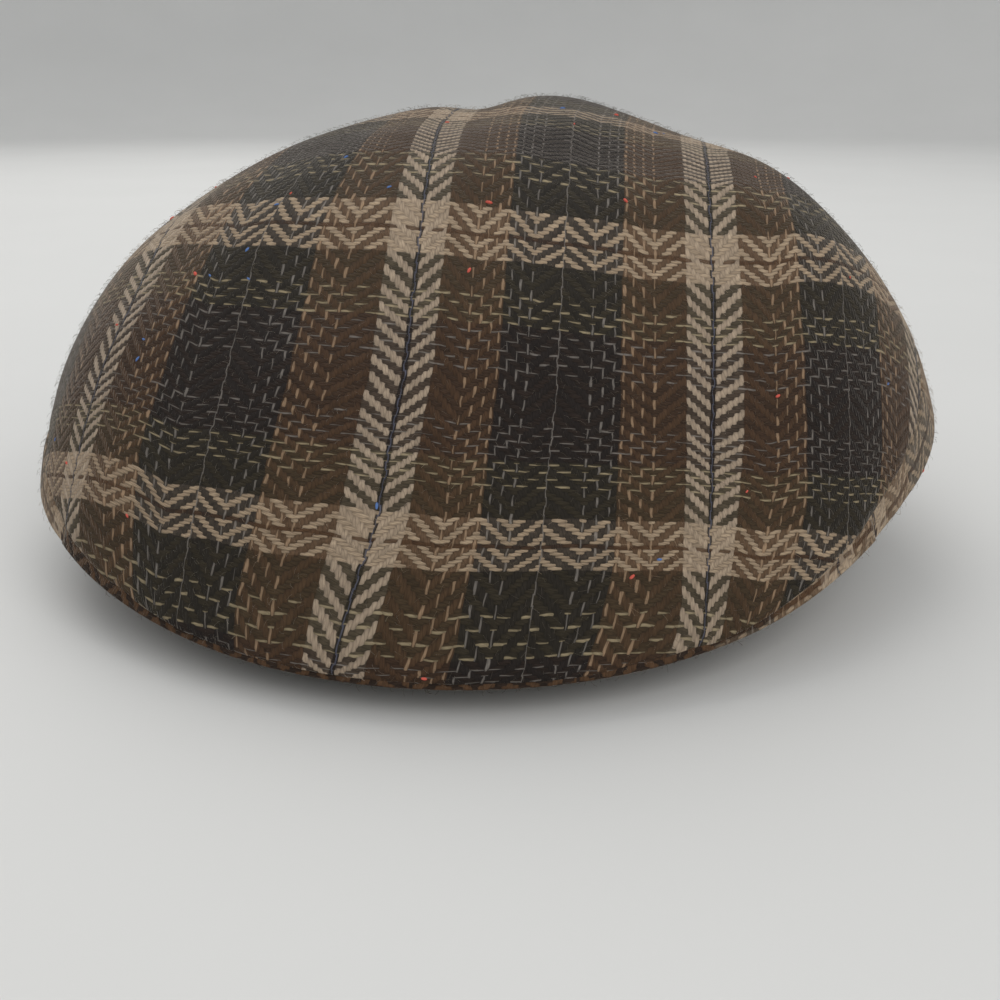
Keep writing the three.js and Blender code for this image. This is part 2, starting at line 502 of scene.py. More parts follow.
@dataclass(frozen=True)
class TopLay:
    """How the yarns of the top panel lie over the form."""

    form: CapForm
    steps: int = 56
    front: float = -175.0
    back: float = 110.0
    places: int = 96

    def picks(self, distance: Array) -> Array:
        """Counts picks from the upper light band's middle.

        Args:
            distance: Distances from that middle, in spacings of the bands.

        Returns:
            The count at each distance.
        """
        distances = [row.distance for row in PICK_COUNTS]
        counts = [row.picks for row in PICK_COUNTS]
        return np.interp(distance, distances, counts) + HALF_YARN

    def run(self, start: Array, end: Array) -> Array:
        """Measures along the form between places in plan.

        Args:
            start: Places that the measure starts from, with x and y on the last axis.
            end: Places that it goes to.

        Returns:
            Lengths over the form.
        """
        share = np.linspace(0.0, 1.0, self.steps + 1)[:, None]
        places = blend(start[..., None, :], end[..., None, :], share)
        height = self.form.height(places[..., 0], places[..., 1])
        steps = np.concatenate([np.diff(places, axis=-2), np.diff(height, axis=-1)[..., None]], axis=-1)
        return np.sum(length_of(steps)[..., 0], axis=-1)

    def across(self, x: Array, y: Array) -> Array:
        """Measures across the form from its middle line, to the left as less than nothing."""
        middle = np.stack([np.zeros_like(x), y], axis=-1)
        return np.sign(x) * self.run(middle, np.stack([x, y], axis=-1))

    def ends(self, x: Array, y: Array) -> Array:
        """Counts the ends: evenly over the form between the stripes, and going on so outside them.

        Args:
            x: Places across the cap.
            y: Places along the cap.

        Returns:
            The count at each place.
        """
        along = np.linspace(self.front, self.back, self.places)
        lines = []
        for stripe in STRIPES:
            level = np.interp(-along, [-place for place in STRIPE_PLACES], stripe.across)
            lines.append(np.interp(y, along, self.across(level, along)))
        here = self.across(x, y)
        total = np.full_like(x, STRIPES[0].end)
        last = len(STRIPES) - 2
        for number, (left, right) in enumerate(zip(STRIPES[:-1], STRIPES[1:])):
            share = (here - lines[number]) / (lines[number + 1] - lines[number])
            lowest = -np.inf if number == 0 else 0.0
            highest = np.inf if number == last else 1.0
            total = total + (right.end - left.end) * np.clip(share, lowest, highest)
        return total + HALF_YARN

    def yarns(self, x: Array, y: Array) -> Array:
        """Counts ends across and picks along at places in plan.

        Args:
            x: Places across the cap.
            y: Places along the cap.

        Returns:
            Ends, picks and zero on the last axis.
        """
        places = [band.x for band in BANDS]
        band_y = np.interp(x, places, [band.y for band in BANDS])
        spacing = np.interp(x, places, [band.spacing for band in BANDS])
        run = self.run(np.stack([x, band_y], axis=-1), np.stack([x, y], axis=-1))
        picks = self.picks(np.sign(y - band_y) * run / spacing)
        return np.stack([self.ends(x, y), picks, np.zeros_like(x)], axis=-1)


def count_triangles(mesh: bpy.types.Mesh) -> int:
    """Counts the triangles that a mesh has."""
    return sum(len(polygon.vertices) - 2 for polygon in mesh.polygons)


def make_object(name: str, points: Array, faces: Faces, yarns: Array) -> bpy.types.Object:
    """Makes a smooth object with its yarn counts.

    Args:
        name: Name of the piece.
        points: Points in metres, one row each.
        faces: Faces as rows of point numbers.
        yarns: Ends and picks at each point.

    Returns:
        The new object, linked to the scene.
    """
    mesh = bpy.data.meshes.new(name)
    mesh.from_pydata(points.tolist(), [], faces)
    shape = bmesh.new()
    shape.from_mesh(mesh)
    bmesh.ops.recalc_face_normals(shape, faces=shape.faces)
    shape.to_mesh(mesh)
    shape.free()
    attribute = mesh.attributes.new(YARNS, "FLOAT_VECTOR", "POINT")
    attribute.data.foreach_set("vector", yarns.astype(np.float32).ravel())
    mesh.polygons.foreach_set("use_smooth", [True] * len(mesh.polygons))
    mesh.update()
    piece = bpy.data.objects.new(name, mesh)
    bpy.context.scene.collection.objects.link(piece)
    return piece


def ring_faces(columns: int, points: int) -> Faces:
    """Joins columns all the way round, and closes both ends at two poles that come after the columns.

    Args:
        columns: Number of columns.
        points: Number of points in each column.

    Returns:
        Faces as rows of point numbers.
    """
    first_pole = columns * points
    last_pole = first_pole + 1
    faces: Faces = []
    for column in range(columns):
        here = column * points
        there = (column + 1) % columns * points
        faces.append((first_pole, here, there))
        faces.extend((here + k, here + k + 1, there + k + 1, there + k) for k in range(points - 1))
        faces.append((here + points - 1, last_pole, there + points - 1))
    return faces


def strip_faces(columns: int, points: int) -> Faces:
    """Joins columns of closed loops, and zips each end loop shut.

    Args:
        columns: Number of columns.
        points: Number of points in each loop, an even number.

    Returns:
        Faces as rows of point numbers.
    """
    faces: Faces = []
    for column in range(columns - 1):
        here = column * points
        there = here + points
        for k in range(points):
            after = (k + 1) % points
            faces.append((here + k, here + after, there + after, there + k))
    for base in (0, (columns - 1) * points):
        for k in range(points // 2 - 1):
            far = points - 1 - k
            faces.append((base + k, base + k + 1, base + far - 1, base + far))
    return faces


def grid_faces(columns: int, points: int, closed: bool) -> Faces:
    """Joins columns into an open sheet.

    Args:
        columns: Number of columns.
        points: Number of points in each column.
        closed: Whether the last column joins the first.

    Returns:
        Faces as rows of point numbers.
    """
    faces: Faces = []
    for column in range(columns if closed else columns - 1):
        here = column * points
        there = (column + 1) % columns * points
        faces.extend((here + k, here + k + 1, there + k + 1, there + k) for k in range(points - 1))
    return faces


class Desk:
    """Adds and joins the nodes of one tree."""

    def __init__(self, tree: bpy.types.NodeTree) -> None:
        """Takes the tree to work on."""
        self.tree = tree

    def add(self, kind: str, **settings: object) -> bpy.types.Node:
        """Adds a node.

        Args:
            kind: Name of the node's type.
            settings: Values of the node's own properties.

        Returns:
            The new node.
        """
        node = self.tree.nodes.new(kind)
        for key, value in settings.items():
            setattr(node, key, value)
        return node

    def feed(self, socket: Socket, value: Value) -> None:
        """Links a socket to another, or sets its value.

        Args:
            socket: Input that is fed.
            value: Output to link it to, or its value.
        """
        if isinstance(value, Socket):
            self.tree.links.new(value, socket)
        else:
            socket.default_value = value

    def fill(self, node: bpy.types.Node, values: dict[str, Value]) -> None:
        """Feeds a node's inputs by their names."""
        for name, value in values.items():
            self.feed(node.inputs[name], value)

    def name_sockets(self, way: str, kinds: dict[str, str]) -> None:
        """Names the inputs or the outputs of a group.

        Args:
            way: INPUT or OUTPUT.
            kinds: Kind of each socket, by its name.
        """
        for name, kind in kinds.items():
            self.tree.interface.new_socket(name, in_out=way, socket_type=f"NodeSocket{kind}")

    def sum(self, operation: str, *values: Value) -> Socket:
        """Does one sum on numbers.

        Args:
            operation: Name of the Math node's operation.
            values: Numbers or sockets, in order.

        Returns:
            The result's socket.
        """
        node = self.add("ShaderNodeMath", operation=operation)
        for socket, value in zip(node.inputs, values):
            self.feed(socket, value)
        return node.outputs[0]

    def vector(self, x: Value, y: Value, z: Value) -> Socket:
        """Joins three numbers into a vector.

        Args:
            x: First number.
            y: Second number.
            z: Third number.

        Returns:
            The vector's socket.
        """
        node = self.add("ShaderNodeCombineXYZ")
        for socket, value in zip(node.inputs, (x, y, z)):
            self.feed(socket, value)
        return node.outputs[0]

    def pick(self, factor: Value, first: Value, second: Value) -> Socket:
        """Goes from a first number to a second by a factor.

        Args:
            factor: Share of the second number.
            first: First number.
            second: Second number.

        Returns:
            The result's socket.
        """
        node = self.add("ShaderNodeMix", data_type="FLOAT")
        for number, value in zip((0, 2, 3), (factor, first, second)):
            self.feed(node.inputs[number], value)
        return node.outputs[0]

    def colour(self, factor: Value, first: Value, second: Value, how: str = "MIX") -> Socket:
        """Mixes two colours.

        Args:
            factor: Share of the second colour.
            first: First colour.
            second: Second colour.
            how: Name of the blend.

        Returns:
            The mixed colour's socket.
        """
        node = self.add("ShaderNodeMix", data_type="RGBA", blend_type=how)
        for number, value in zip((0, 6, 7), (factor, first, second)):
            self.feed(node.inputs[number], value)
        return node.outputs[2]

    def shaded(self, colour: Value, factor: Value) -> Socket:
        """Makes a colour darker or lighter by a factor."""
        return self.colour(1.0, colour, self.vector(factor, factor, factor), "MULTIPLY")

    def grey(self, colour: Value) -> Socket:
        """Gives how light a colour is.

        Args:
            colour: The colour.

        Returns:
            The lightness's socket.
        """
        node = self.add("ShaderNodeRGBToBW")
        self.feed(node.inputs[0], colour)
        return node.outputs[0]

    def noise(self, place: Value, scale: float, detail: float = 2.0) -> bpy.types.Node:
        """Adds a noise texture.

        Args:
            place: Place that the noise is read at.
            scale: Its scale.
            detail: How many finer layers it has.

        Returns:
            The texture's node.
        """
        node = self.add("ShaderNodeTexNoise")
        self.fill(node, {"Vector": place, "Scale": scale, "Detail": detail})
        return node

    def varied(self, noise: Value, amount: Value) -> Socket:
        """Gives a factor about 1 that goes up and down with a noise."""
        return self.sum("MULTIPLY_ADD", self.sum("SUBTRACT", noise, NOISE_MIDDLE), amount, 1.0)

    def smooth_step(self, value: Value, low: Value, high: Value) -> Socket:
        """Goes smoothly from 0 at a low value to 1 at a high one.

        Args:
            value: The value.
            low: Where the result is still 0.
            high: Where the result is 1.

        Returns:
            The result's socket.
        """
        node = self.add("ShaderNodeMapRange", interpolation_type="SMOOTHSTEP")
        self.fill(node, {"Value": value, "From Min": low, "From Max": high})
        return node.outputs[0]

    def surface(self, values: dict[str, Value]) -> None:
        """Ends a material in a Principled shader.

        Args:
            values: The shader's inputs, by their names.
        """
        shader = self.add("ShaderNodeBsdfPrincipled")
        self.fill(shader, values)
        output = self.add("ShaderNodeOutputMaterial")
        self.feed(output.inputs["Surface"], shader.outputs["BSDF"])


def new_material(name: str) -> tuple[bpy.types.Material, Desk]:
    """Makes a material without nodes.

    Args:
        name: Name of the finish.

    Returns:
        The material, and the desk of its tree.
    """
    material = bpy.data.materials.new(name)
    material.use_nodes = True
    material.node_tree.nodes.clear()
    return material, Desk(material.node_tree)


class Dye(Enum):
    """Yarn colours of the plaid."""

    CREAM = "cream"
    OAT = "oat"
    NAVY = "navy"
    BROWN = "brown"
    TAN = "tan"
    CHARCOAL = "charcoal"
    GREY = "grey"
    OLIVE = "olive"
    STRAW = "straw"
    UMBER = "umber"


@dataclass(frozen=True)
class YarnLook:
    """A yarn's colour on screen, 0 to 255, and how full it is: the share of its pitch that it fills."""

    red: int
    green: int
    blue: int
    fullness: float

    def linear(self) -> tuple[float, float, float]:
        """Gives the colour in linear light."""
        shares = [value / 255 for value in (self.red, self.green, self.blue)]
        return tuple(s / 12.92 if s <= 0.04045 else ((s + 0.055) / 1.055) ** 2.4 for s in shares)


YARN_LOOKS: dict[Dye, YarnLook] = {
    Dye.CREAM: YarnLook(168, 150, 130, 1.12),
    Dye.OAT: YarnLook(171, 150, 125, 0.92),
    Dye.NAVY: YarnLook(84, 85, 98, 0.52),
    Dye.BROWN: YarnLook(83, 61, 43, 1.25),
    Dye.TAN: YarnLook(148, 123, 98, 0.54),
    Dye.CHARCOAL: YarnLook(31, 29, 29, 1.25),
    Dye.GREY: YarnLook(117, 111, 105, 0.44),
    Dye.OLIVE: YarnLook(58, 51, 37, 1.10),
    Dye.STRAW: YarnLook(154, 140, 112, 0.56),
    Dye.UMBER: YarnLook(47, 36, 29, 1.10),
}


@dataclass(frozen=True)
class YarnOrder:
    """The order of dyed yarns from the middle of a light stripe out to the middle of a dark one.

    Each run gives its first yarn's count from the middle, and the dye. Each fine thread gives the count of
    the yarn that it lies on, and its dye. The order is mirrored about both middles.
    """

    period: int
    runs: tuple[tuple[int, Dye], ...]
    fine: tuple[tuple[int, Dye], ...]

    @property
    def half(self) -> int:
        """Gives the count of the dark stripe's middle yarn."""
        return self.period // 2


WARP = YarnOrder(
    period=STRIPE_ENDS,
    runs=((0, Dye.CHARCOAL), (1, Dye.CREAM), (6, Dye.BROWN), (19, Dye.CHARCOAL)),
    fine=(
        (0, Dye.NAVY),
        *((end, Dye.TAN) for end in (12, 14, 16, 18)),
        *((end, Dye.GREY) for end in (20, 22, 24, 30)),
    ),
)

WEFT = YarnOrder(
    period=BAND_PICKS,
    runs=((0, Dye.BROWN), (1, Dye.OAT), (7, Dye.OLIVE), (21, Dye.UMBER)),
    fine=(
        *((pick, Dye.STRAW) for pick in (14, 16, 18, 20)),
        *((pick, Dye.GREY) for pick in (22, 24, 26, 28, 30)),
    ),
)

# Colour and fullness where no fine thread lies.
NO_THREAD: Colour = (0.0, 0.0, 0.0, 0.0)


@dataclass(frozen=True)
class Crossing:
    """Where a place lies in the weave, as sockets of the weave's tree.

    End and pick are the whole numbers of the yarns that cross there, in_end and in_pick the places across
    them, 0 to 1, and in_ribs the end's count in two ribs. Phase is how far the end has gone along the
    weave's repeat, and leans_left is 1 where the twill leans left.
    """

    across: Socket
    along: Socket
    end: Socket
    pick: Socket
    in_end: Socket
    in_pick: Socket
    in_ribs: Socket
    phase: Socket
    leans_left: Socket


@dataclass(frozen=True)
class HerringboneWeave:
    """The cloth: two-over-two twill whose lean turns round after every rib of ends, about one end.

    At the middle of each stripe the two sides of the turn are a float apart, so the weave breaks there.
    """

    rib: int = 6
    repeat: int = 4
    float_length: int = 2
    wave: float = 1.0
    roundness: float = 1.5
    loft: float = 0.5
    lean: float = 0.7
    edge: float = 0.30
    slub: float = 2.2
    thread_push: float = 0.28
    thread_edge: float = 0.28
    ply_twist: float = 0.6
    ply_width: float = 0.3
    ply_depth: float = 0.8
    alike_low: float = 0.04
    alike_high: float = 0.15
    merging: float = 0.6
    gap_low: float = 0.6
    gap_high: float = 2.4
    gap_shade: float = 0.62
    yarn_relief: float = 0.6
    nap: float = 0.72
    nap_change: float = 0.25
    haze_scale: float = 0.9
    stray_scale: float = 0.22
    mottle_scale: float = 0.21
    warp_spread: float = 7.3
    weft_spread: float = 5.2
    warp_layer: float = 0.5
    weft_layer: float = 3.5
    fine_detail: float = 3.0
    fibre_scale: float = 1.0
    fibre_long: float = 0.7
    fibre_fine: float = 2.6
    fibre_shade: float = 0.75
    plain_warp: Dye = Dye.BROWN
    plain_weft: Dye = Dye.UMBER

    def ramp(self, desk: Desk, place: Socket, stops: list[tuple[float, Colour]]) -> bpy.types.Node:
        """Adds a stepped ramp.

        Args:
            desk: Tree that the nodes go in.
            place: Place on the ramp, 0 to 1.
            stops: Where each colour starts, and the colour.

        Returns:
            The ramp's node.
        """
        node = desk.add("ShaderNodeValToRGB")
        desk.feed(node.inputs[0], place)
        node.color_ramp.interpolation = "CONSTANT"
        elements = node.color_ramp.elements
        for index, (position, colour) in enumerate(stops):
            stop = elements[index] if index < len(elements) else elements.new(position)
            stop.position = position
            stop.color = colour
        return node

    def order_ramps(
        self, desk: Desk, count: Socket, order: YarnOrder
    ) -> tuple[bpy.types.Node, bpy.types.Node]:
        """Gives each yarn its dye and the dye of its fine thread, with their fullness as the ramps' alpha.

        Args:
            desk: Tree that the nodes go in.
            count: Whole number of the yarn.
            order: Order of the dyed yarns.

        Returns:
            The yarns' ramp and the fine threads' ramp.
        """
        turned = desk.sum("FLOORED_MODULO", desk.sum("ADD", count, order.half), order.period)
        from_middle = desk.sum("ABSOLUTE", desk.sum("SUBTRACT", turned, order.half))
        steps = order.half + 1
        place = desk.sum("DIVIDE", desk.sum("ADD", from_middle, HALF_YARN), steps)
        looks = {dye: (*look.linear(), look.fullness) for dye, look in YARN_LOOKS.items()}
        yarns = [(first / steps, looks[dye]) for first, dye in order.runs]
        threads = [(0.0, NO_THREAD)]
        for yarn, dye in order.fine:
            threads.append((yarn / steps, looks[dye]))
            threads.append(((yarn + 1) / steps, NO_THREAD))
        return self.ramp(desk, place, yarns), self.ramp(desk, place, threads)

    def threaded(
        self, desk: Desk, yarn: Socket, thread: bpy.types.Node, across: Socket, side: Value, mottle: Socket
    ) -> Socket:
        """Lays the fine thread along its yarn, on the side that the weave pushes it to.

        It is thicker in some places than in others.

        Args:
            desk: Tree that the nodes go in.
            yarn: Colour of the yarn.
            thread: Ramp of the fine threads.
            across: Place across the yarn, 0 to 1.
            side: Place across the yarn that the thread lies at.
            mottle: Noise along the yarn, 0 to 1.

        Returns:
            The colour's socket.
        """
        off_thread = desk.sum("ABSOLUTE", desk.sum("MULTIPLY", desk.sum("SUBTRACT", across, side), 2.0))
        width = desk.sum("MULTIPLY", thread.outputs[1], desk.varied(mottle, self.slub))
        bare = desk.smooth_step(off_thread, desk.sum("SUBTRACT", width, self.thread_edge), width)
        return desk.colour(bare, thread.outputs[0], yarn)

    def yarn_height(self, desk: Desk, turn: Socket, across: Socket, fullness: Socket) -> Socket:
        """Gives a yarn's height.

        It is a wave as the yarn goes over and under, rounded across, and higher where the yarn is bulky.

        Args:
            desk: Tree that the nodes go in.
            turn: Place along the weave's repeat, 0 to 4, over for the first two.
            across: Place across the yarn, 0 to 1.
            fullness: Share of the pitch that the yarn fills.

        Returns:
            The height's socket.
        """
        wave = desk.sum("MULTIPLY", desk.sum("SINE", desk.sum("MULTIPLY", turn, math.pi / 2)), self.wave)
        off_middle = desk.sum("ABSOLUTE", desk.sum("MULTIPLY_ADD", across, 2.0, -1.0))
        reach = desk.sum("DIVIDE", off_middle, fullness)
        squared = desk.sum("MULTIPLY", reach, reach)
        rounded = desk.sum("MULTIPLY_ADD", squared, -self.roundness, self.roundness)
        bulk = desk.sum("MULTIPLY_ADD", fullness, self.loft, -self.loft)
        return desk.sum("ADD", desk.sum("ADD", wave, rounded), bulk)

    def ply_line(self, desk: Desk, turn: Socket, across: Socket) -> Socket:
        """Gives 1 on the slanting line where a yarn's two plies meet, and 0 beside it.

        Args:
            desk: Tree that the nodes go in.
            turn: Place along the weave's repeat, 0 to 4.
            across: Place across the yarn, 0 to 1.

        Returns:
            The line's socket.
        """
        slant = desk.sum("MULTIPLY_ADD", turn, self.ply_twist, -1.0 - self.ply_twist)
        off_line = desk.sum("ABSOLUTE", desk.sum("MULTIPLY_ADD", across, 2.0, slant))
        return desk.sum("SUBTRACT", 1.0, desk.smooth_step(off_line, 0.0, self.ply_width))

    def wandered(self, desk: Desk, yarns: Socket, wander: Socket) -> list[Socket]:
        """Moves yarn counts a little from place to place, as no yarn lies quite straight.

        Args:
            desk: Tree that the nodes go in.
            yarns: Yarn counts.
            wander: Number of yarns that they stray by.

        Returns:
            The count across, the count along and how plain the cloth is.
        """
        centred = desk.add("ShaderNodeVectorMath", operation="SUBTRACT")
        desk.feed(centred.inputs[0], desk.noise(yarns, self.stray_scale).outputs[1])
        desk.feed(centred.inputs[1], (NOISE_MIDDLE, NOISE_MIDDLE, NOISE_MIDDLE))
        moved = desk.add("ShaderNodeVectorMath", operation="MULTIPLY_ADD")
        desk.feed(moved.inputs[0], centred.outputs[0])
        desk.feed(moved.inputs[1], desk.vector(wander, wander, 0.0))
        desk.feed(moved.inputs[2], yarns)
        parts = desk.add("ShaderNodeSeparateXYZ")
        desk.feed(parts.inputs[0], moved.outputs[0])
        return list(parts.outputs)

    def crossing(self, desk: Desk, across: Socket, along: Socket) -> Crossing:
        """Finds the end and the pick that cross at a place, and how the twill runs there.

        Args:
            desk: Tree that the nodes go in.
            across: Count of ends.
            along: Count of picks.

        Returns:
            The crossing's sockets.
        """
        two_ribs = 2.0 * self.rib
        end = desk.sum("FLOOR", across)
        pick = desk.sum("FLOOR", along)
        in_ribs = desk.sum("FLOORED_MODULO", desk.sum("ADD", end, self.rib), two_ribs)
        from_turn = desk.sum("FLOORED_MODULO", desk.sum("ADD", across, self.rib - HALF_YARN), two_ribs)
        from_rib = desk.sum("ABSOLUTE", desk.sum("SUBTRACT", in_ribs, self.rib))
        walk = desk.sum("SUBTRACT", self.rib, from_rib)
        stripe = desk.sum("DIVIDE", desk.sum("SUBTRACT", across, HALF_YARN), WARP.half)
        breaks = desk.sum("FLOORED_MODULO", desk.sum("FLOOR", stripe), 2.0)
        walk_on = desk.sum("MULTIPLY_ADD", breaks, self.float_length, walk)
        return Crossing(
            across=across,
            along=along,
            end=end,
            pick=pick,
            in_end=desk.sum("SUBTRACT", across, end),
            in_pick=desk.sum("SUBTRACT", along, pick),
            in_ribs=in_ribs,
            phase=desk.sum("FLOORED_MODULO", desk.sum("ADD", pick, walk_on), self.repeat),
            leans_left=desk.sum("LESS_THAN", from_turn, self.rib),
        )

    def turns(self, desk: Desk, at: Crossing) -> tuple[Socket, Socket]:
        """Gives how far the end and the pick have gone along the weave's repeat.

        Args:
            desk: Tree that the nodes go in.
            at: The crossing.

        Returns:
            The end's turn and the pick's turn, each leaning with the twill.
        """
        forward = desk.sum("SUBTRACT", at.phase, self.float_length)
        backward = desk.sum("SUBTRACT", self.repeat - 1.0, at.phase)
        weft_phase = desk.pick(at.leans_left, backward, forward)
        lean = desk.pick(at.leans_left, -self.lean, self.lean)
        turns = []
        ways = ((at.phase, at.in_pick, at.in_end), (weft_phase, at.in_end, at.in_pick))
        for phase, along, across in ways:
            slant = desk.sum("MULTIPLY", desk.sum("SUBTRACT", across, HALF_YARN), lean)
            turns.append(desk.sum("ADD", desk.sum("ADD", phase, along), slant))
        return turns[0], turns[1]

    def mottles(self, desk: Desk, at: Crossing) -> tuple[Socket, Socket]:
        """Gives the noise along each end and along each pick, by which a yarn varies on its way.

        Args:
            desk: Tree that the nodes go in.
            at: The crossing.

        Returns:
            The ends' noise and the picks' noise, 0 to 1.
        """
        warp = desk.vector(desk.sum("MULTIPLY", at.end, self.warp_spread), at.along, self.warp_layer)
        weft = desk.vector(at.across, desk.sum("MULTIPLY", at.pick, self.weft_spread), self.weft_layer)
        noises = [desk.noise(place, self.mottle_scale) for place in (warp, weft)]
        return noises[0].outputs[0], noises[1].outputs[0]

    def fibres(self, desk: Desk, at: Crossing, weft_shows: Socket) -> Socket:
        """Gives the fine streaks of the fibres, which run along the yarn that shows.

        Args:
            desk: Tree that the nodes go in.
            at: The crossing.
            weft_shows: 1 where the pick lies over the end.

        Returns:
            The streaks' noise, 0 to 1.
        """
        streaks = []
        grains = ((self.fibre_fine, self.fibre_long), (self.fibre_long, self.fibre_fine))
        for fine_across, fine_along in grains:
            across = desk.sum("MULTIPLY", at.across, fine_across)
            along = desk.sum("MULTIPLY", at.along, fine_along)
            grain = desk.noise(desk.vector(across, along, 0.0), self.fibre_scale, self.fine_detail)
            streaks.append(grain.outputs[0])
        return desk.pick(weft_shows, *streaks)

    def merging_share(self, desk: Desk, warp: Socket, weft: Socket) -> Socket:
        """Gives how far the colours of crossing yarns run together: further where they are alike.

        Args:
            desk: Tree that the nodes go in.
            warp: Colour of the end.
            weft: Colour of the pick.

        Returns:
            The share's socket.
        """
        contrast = desk.sum("ABSOLUTE", desk.sum("SUBTRACT", desk.grey(warp), desk.grey(weft)))
        unlike = desk.smooth_step(contrast, self.alike_low, self.alike_high)
        return desk.sum("MULTIPLY", desk.sum("SUBTRACT", 1.0, unlike), self.merging)

    def plain_colour(self, dye: Dye) -> Colour:
        """Gives the colour of the plain cloth's yarns."""
        return (*YARN_LOOKS[dye].linear(), 1.0)

    def group(self) -> bpy.types.NodeTree:
        """Builds the weave as a shader group.

        Returns:
            A group that takes yarn counts, and gives the colour, relief and nap of the cloth.
        """
        desk = Desk(bpy.data.node_groups.new("Herringbone plaid", "ShaderNodeTree"))
        inputs = {"Yarns": "Vector", "Wander": "Float", "Heather": "Float", "Felting": "Float"}
        desk.name_sockets("INPUT", inputs)
        desk.name_sockets("OUTPUT", {"Colour": "Color", "Relief": "Float", "Nap": "Float"})
        given = desk.add("NodeGroupInput").outputs

        # The yarns that cross here, and which of them lies on top
        across, along, plain = self.wandered(desk, given["Yarns"], given["Wander"])
        at = self.crossing(desk, across, along)
        warp, warp_thread = self.order_ramps(desk, at.end, WARP)
        weft, weft_thread = self.order_ramps(desk, at.pick, WEFT)
        warp_turn, weft_turn = self.turns(desk, at)
        warp_height = self.yarn_height(desk, warp_turn, at.in_end, warp.outputs[1])
        weft_height = self.yarn_height(desk, weft_turn, at.in_pick, weft.outputs[1])
        difference = desk.sum("SUBTRACT", weft_height, warp_height)
        weft_shows = desk.smooth_step(difference, -self.edge, self.edge)
        warp_ply = self.ply_line(desk, warp_turn, at.in_end)
        weft_ply = self.ply_line(desk, weft_turn, at.in_pick)
        plies = desk.pick(weft_shows, warp_ply, weft_ply)
        highest = desk.sum("MAXIMUM", warp_height, weft_height)
        # The ply grooves lower the height. Below, the height darkens the colour as painted shade, and it
        # gives the relief.
        height = desk.sum("MULTIPLY_ADD", plies, -self.ply_depth, highest)

        # Their colours
        warp_mottle, weft_mottle = self.mottles(desk, at)
        both = desk.colour(0.5, warp.outputs[0], weft.outputs[0])
        merged = self.merging_share(desk, warp.outputs[0], weft.outputs[0])
        warp_base = desk.colour(merged, warp.outputs[0], both)
        weft_base = desk.colour(merged, weft.outputs[0], both)
        slope = desk.sum("SINE", desk.sum("MULTIPLY", at.in_ribs, math.pi / self.rib))
        warp_side = desk.sum("MULTIPLY_ADD", slope, -self.thread_push, HALF_YARN)
        weft_side = HALF_YARN - self.thread_push
        warp_dyed = self.threaded(desk, warp_base, warp_thread, at.in_end, warp_side, warp_mottle)
        weft_dyed = self.threaded(desk, weft_base, weft_thread, at.in_pick, weft_side, weft_mottle)
        warp_colour = desk.colour(plain, warp_dyed, self.plain_colour(self.plain_warp))
        weft_colour = desk.colour(plain, weft_dyed, self.plain_colour(self.plain_weft))
        yarn_colour = desk.colour(weft_shows, warp_colour, weft_colour)

        # Felting, the painted shade in the gaps and other low places of the weave, and the shades of the
        # wool
        felt_colour = desk.colour(plain, both, yarn_colour)
        haze = desk.noise(given["Yarns"], self.haze_scale, self.fine_detail).outputs[0]
        felted = desk.colour(desk.sum("MULTIPLY", haze, given["Felting"]), yarn_colour, felt_colour)
        painted_gap_shade = desk.pick(desk.smooth_step(height, self.gap_low, self.gap_high), self.gap_shade, 1.0)
        woven = desk.shaded(felted, painted_gap_shade)
        mottle = desk.pick(weft_shows, warp_mottle, weft_mottle)
        fibre = self.fibres(desk, at, weft_shows)
        heather = desk.varied(mottle, given["Heather"])
        shade = desk.sum("MULTIPLY", heather, desk.varied(fibre, self.fibre_shade))

        result = desk.add("NodeGroupOutput")
        desk.fill(
            result,
            {
                "Colour": desk.shaded(woven, shade),
                "Relief": desk.sum("MULTIPLY_ADD", height, self.yarn_relief, fibre),
                "Nap": desk.sum("MULTIPLY_ADD", fibre, self.nap_change, self.nap),
            },
        )
        return desk.tree


@dataclass(frozen=True)
class WoolFinish:
    """A woollen cloth finish made from the weave."""

    name: str
    wander: float = 0.9
    heather: float = 0.9
    felting: float = 0.40
    # Share of a pale colour mixed into the cloth's colour: painted sheen, a pale haze standing in for light
    # caught by the nap.
    painted_sheen: float = 0.0
    painted_sheen_colour: Colour = (0.34, 0.28, 0.21, 1.0)
    relief: float = 0.00022
    relief_strength: float = 0.8
    gloss: float = 0.2
    sheen: float = 0.48
    sheen_roughness: float = 0.22
    sheen_tint: Colour = (0.82, 0.75, 0.66, 1.0)

    def material(self, weave: bpy.types.NodeTree) -> bpy.types.Material:
        """Builds the material.

        Args:
            weave: Shader group of the weave.

        Returns:
            The new material.
        """
        material, desk = new_material(self.name)
        counts = desk.add("ShaderNodeAttribute", attribute_name=YARNS)
        cloth = desk.add("ShaderNodeGroup", node_tree=weave)
        desk.fill(
            cloth,
            {
                "Yarns": counts.outputs["Vector"],
                "Wander": self.wander,
                "Heather": self.heather,
                "Felting": self.felting,
            },
        )
        bump = desk.add("ShaderNodeBump")
        desk.fill(
            bump,
            {"Strength": self.relief_strength, "Distance": self.relief, "Height": cloth.outputs["Relief"]},
        )
        desk.surface(
            {
                # The painted sheen pales the cloth's colour.
                "Base Color": desk.colour(self.painted_sheen, cloth.outputs["Colour"], self.painted_sheen_colour),
                "Roughness": cloth.outputs["Nap"],
                "Normal": bump.outputs["Normal"],
                "Specular IOR Level": self.gloss,
                "Sheen Weight": self.sheen,
                "Sheen Roughness": self.sheen_roughness,
                "Sheen Tint": self.sheen_tint,
            }
        )
        return material


@dataclass(frozen=True)
class Cut:
    """A panel's cut: its width and length in metres, and how the cloth is held."""

    width: float
    length: float
    held: str


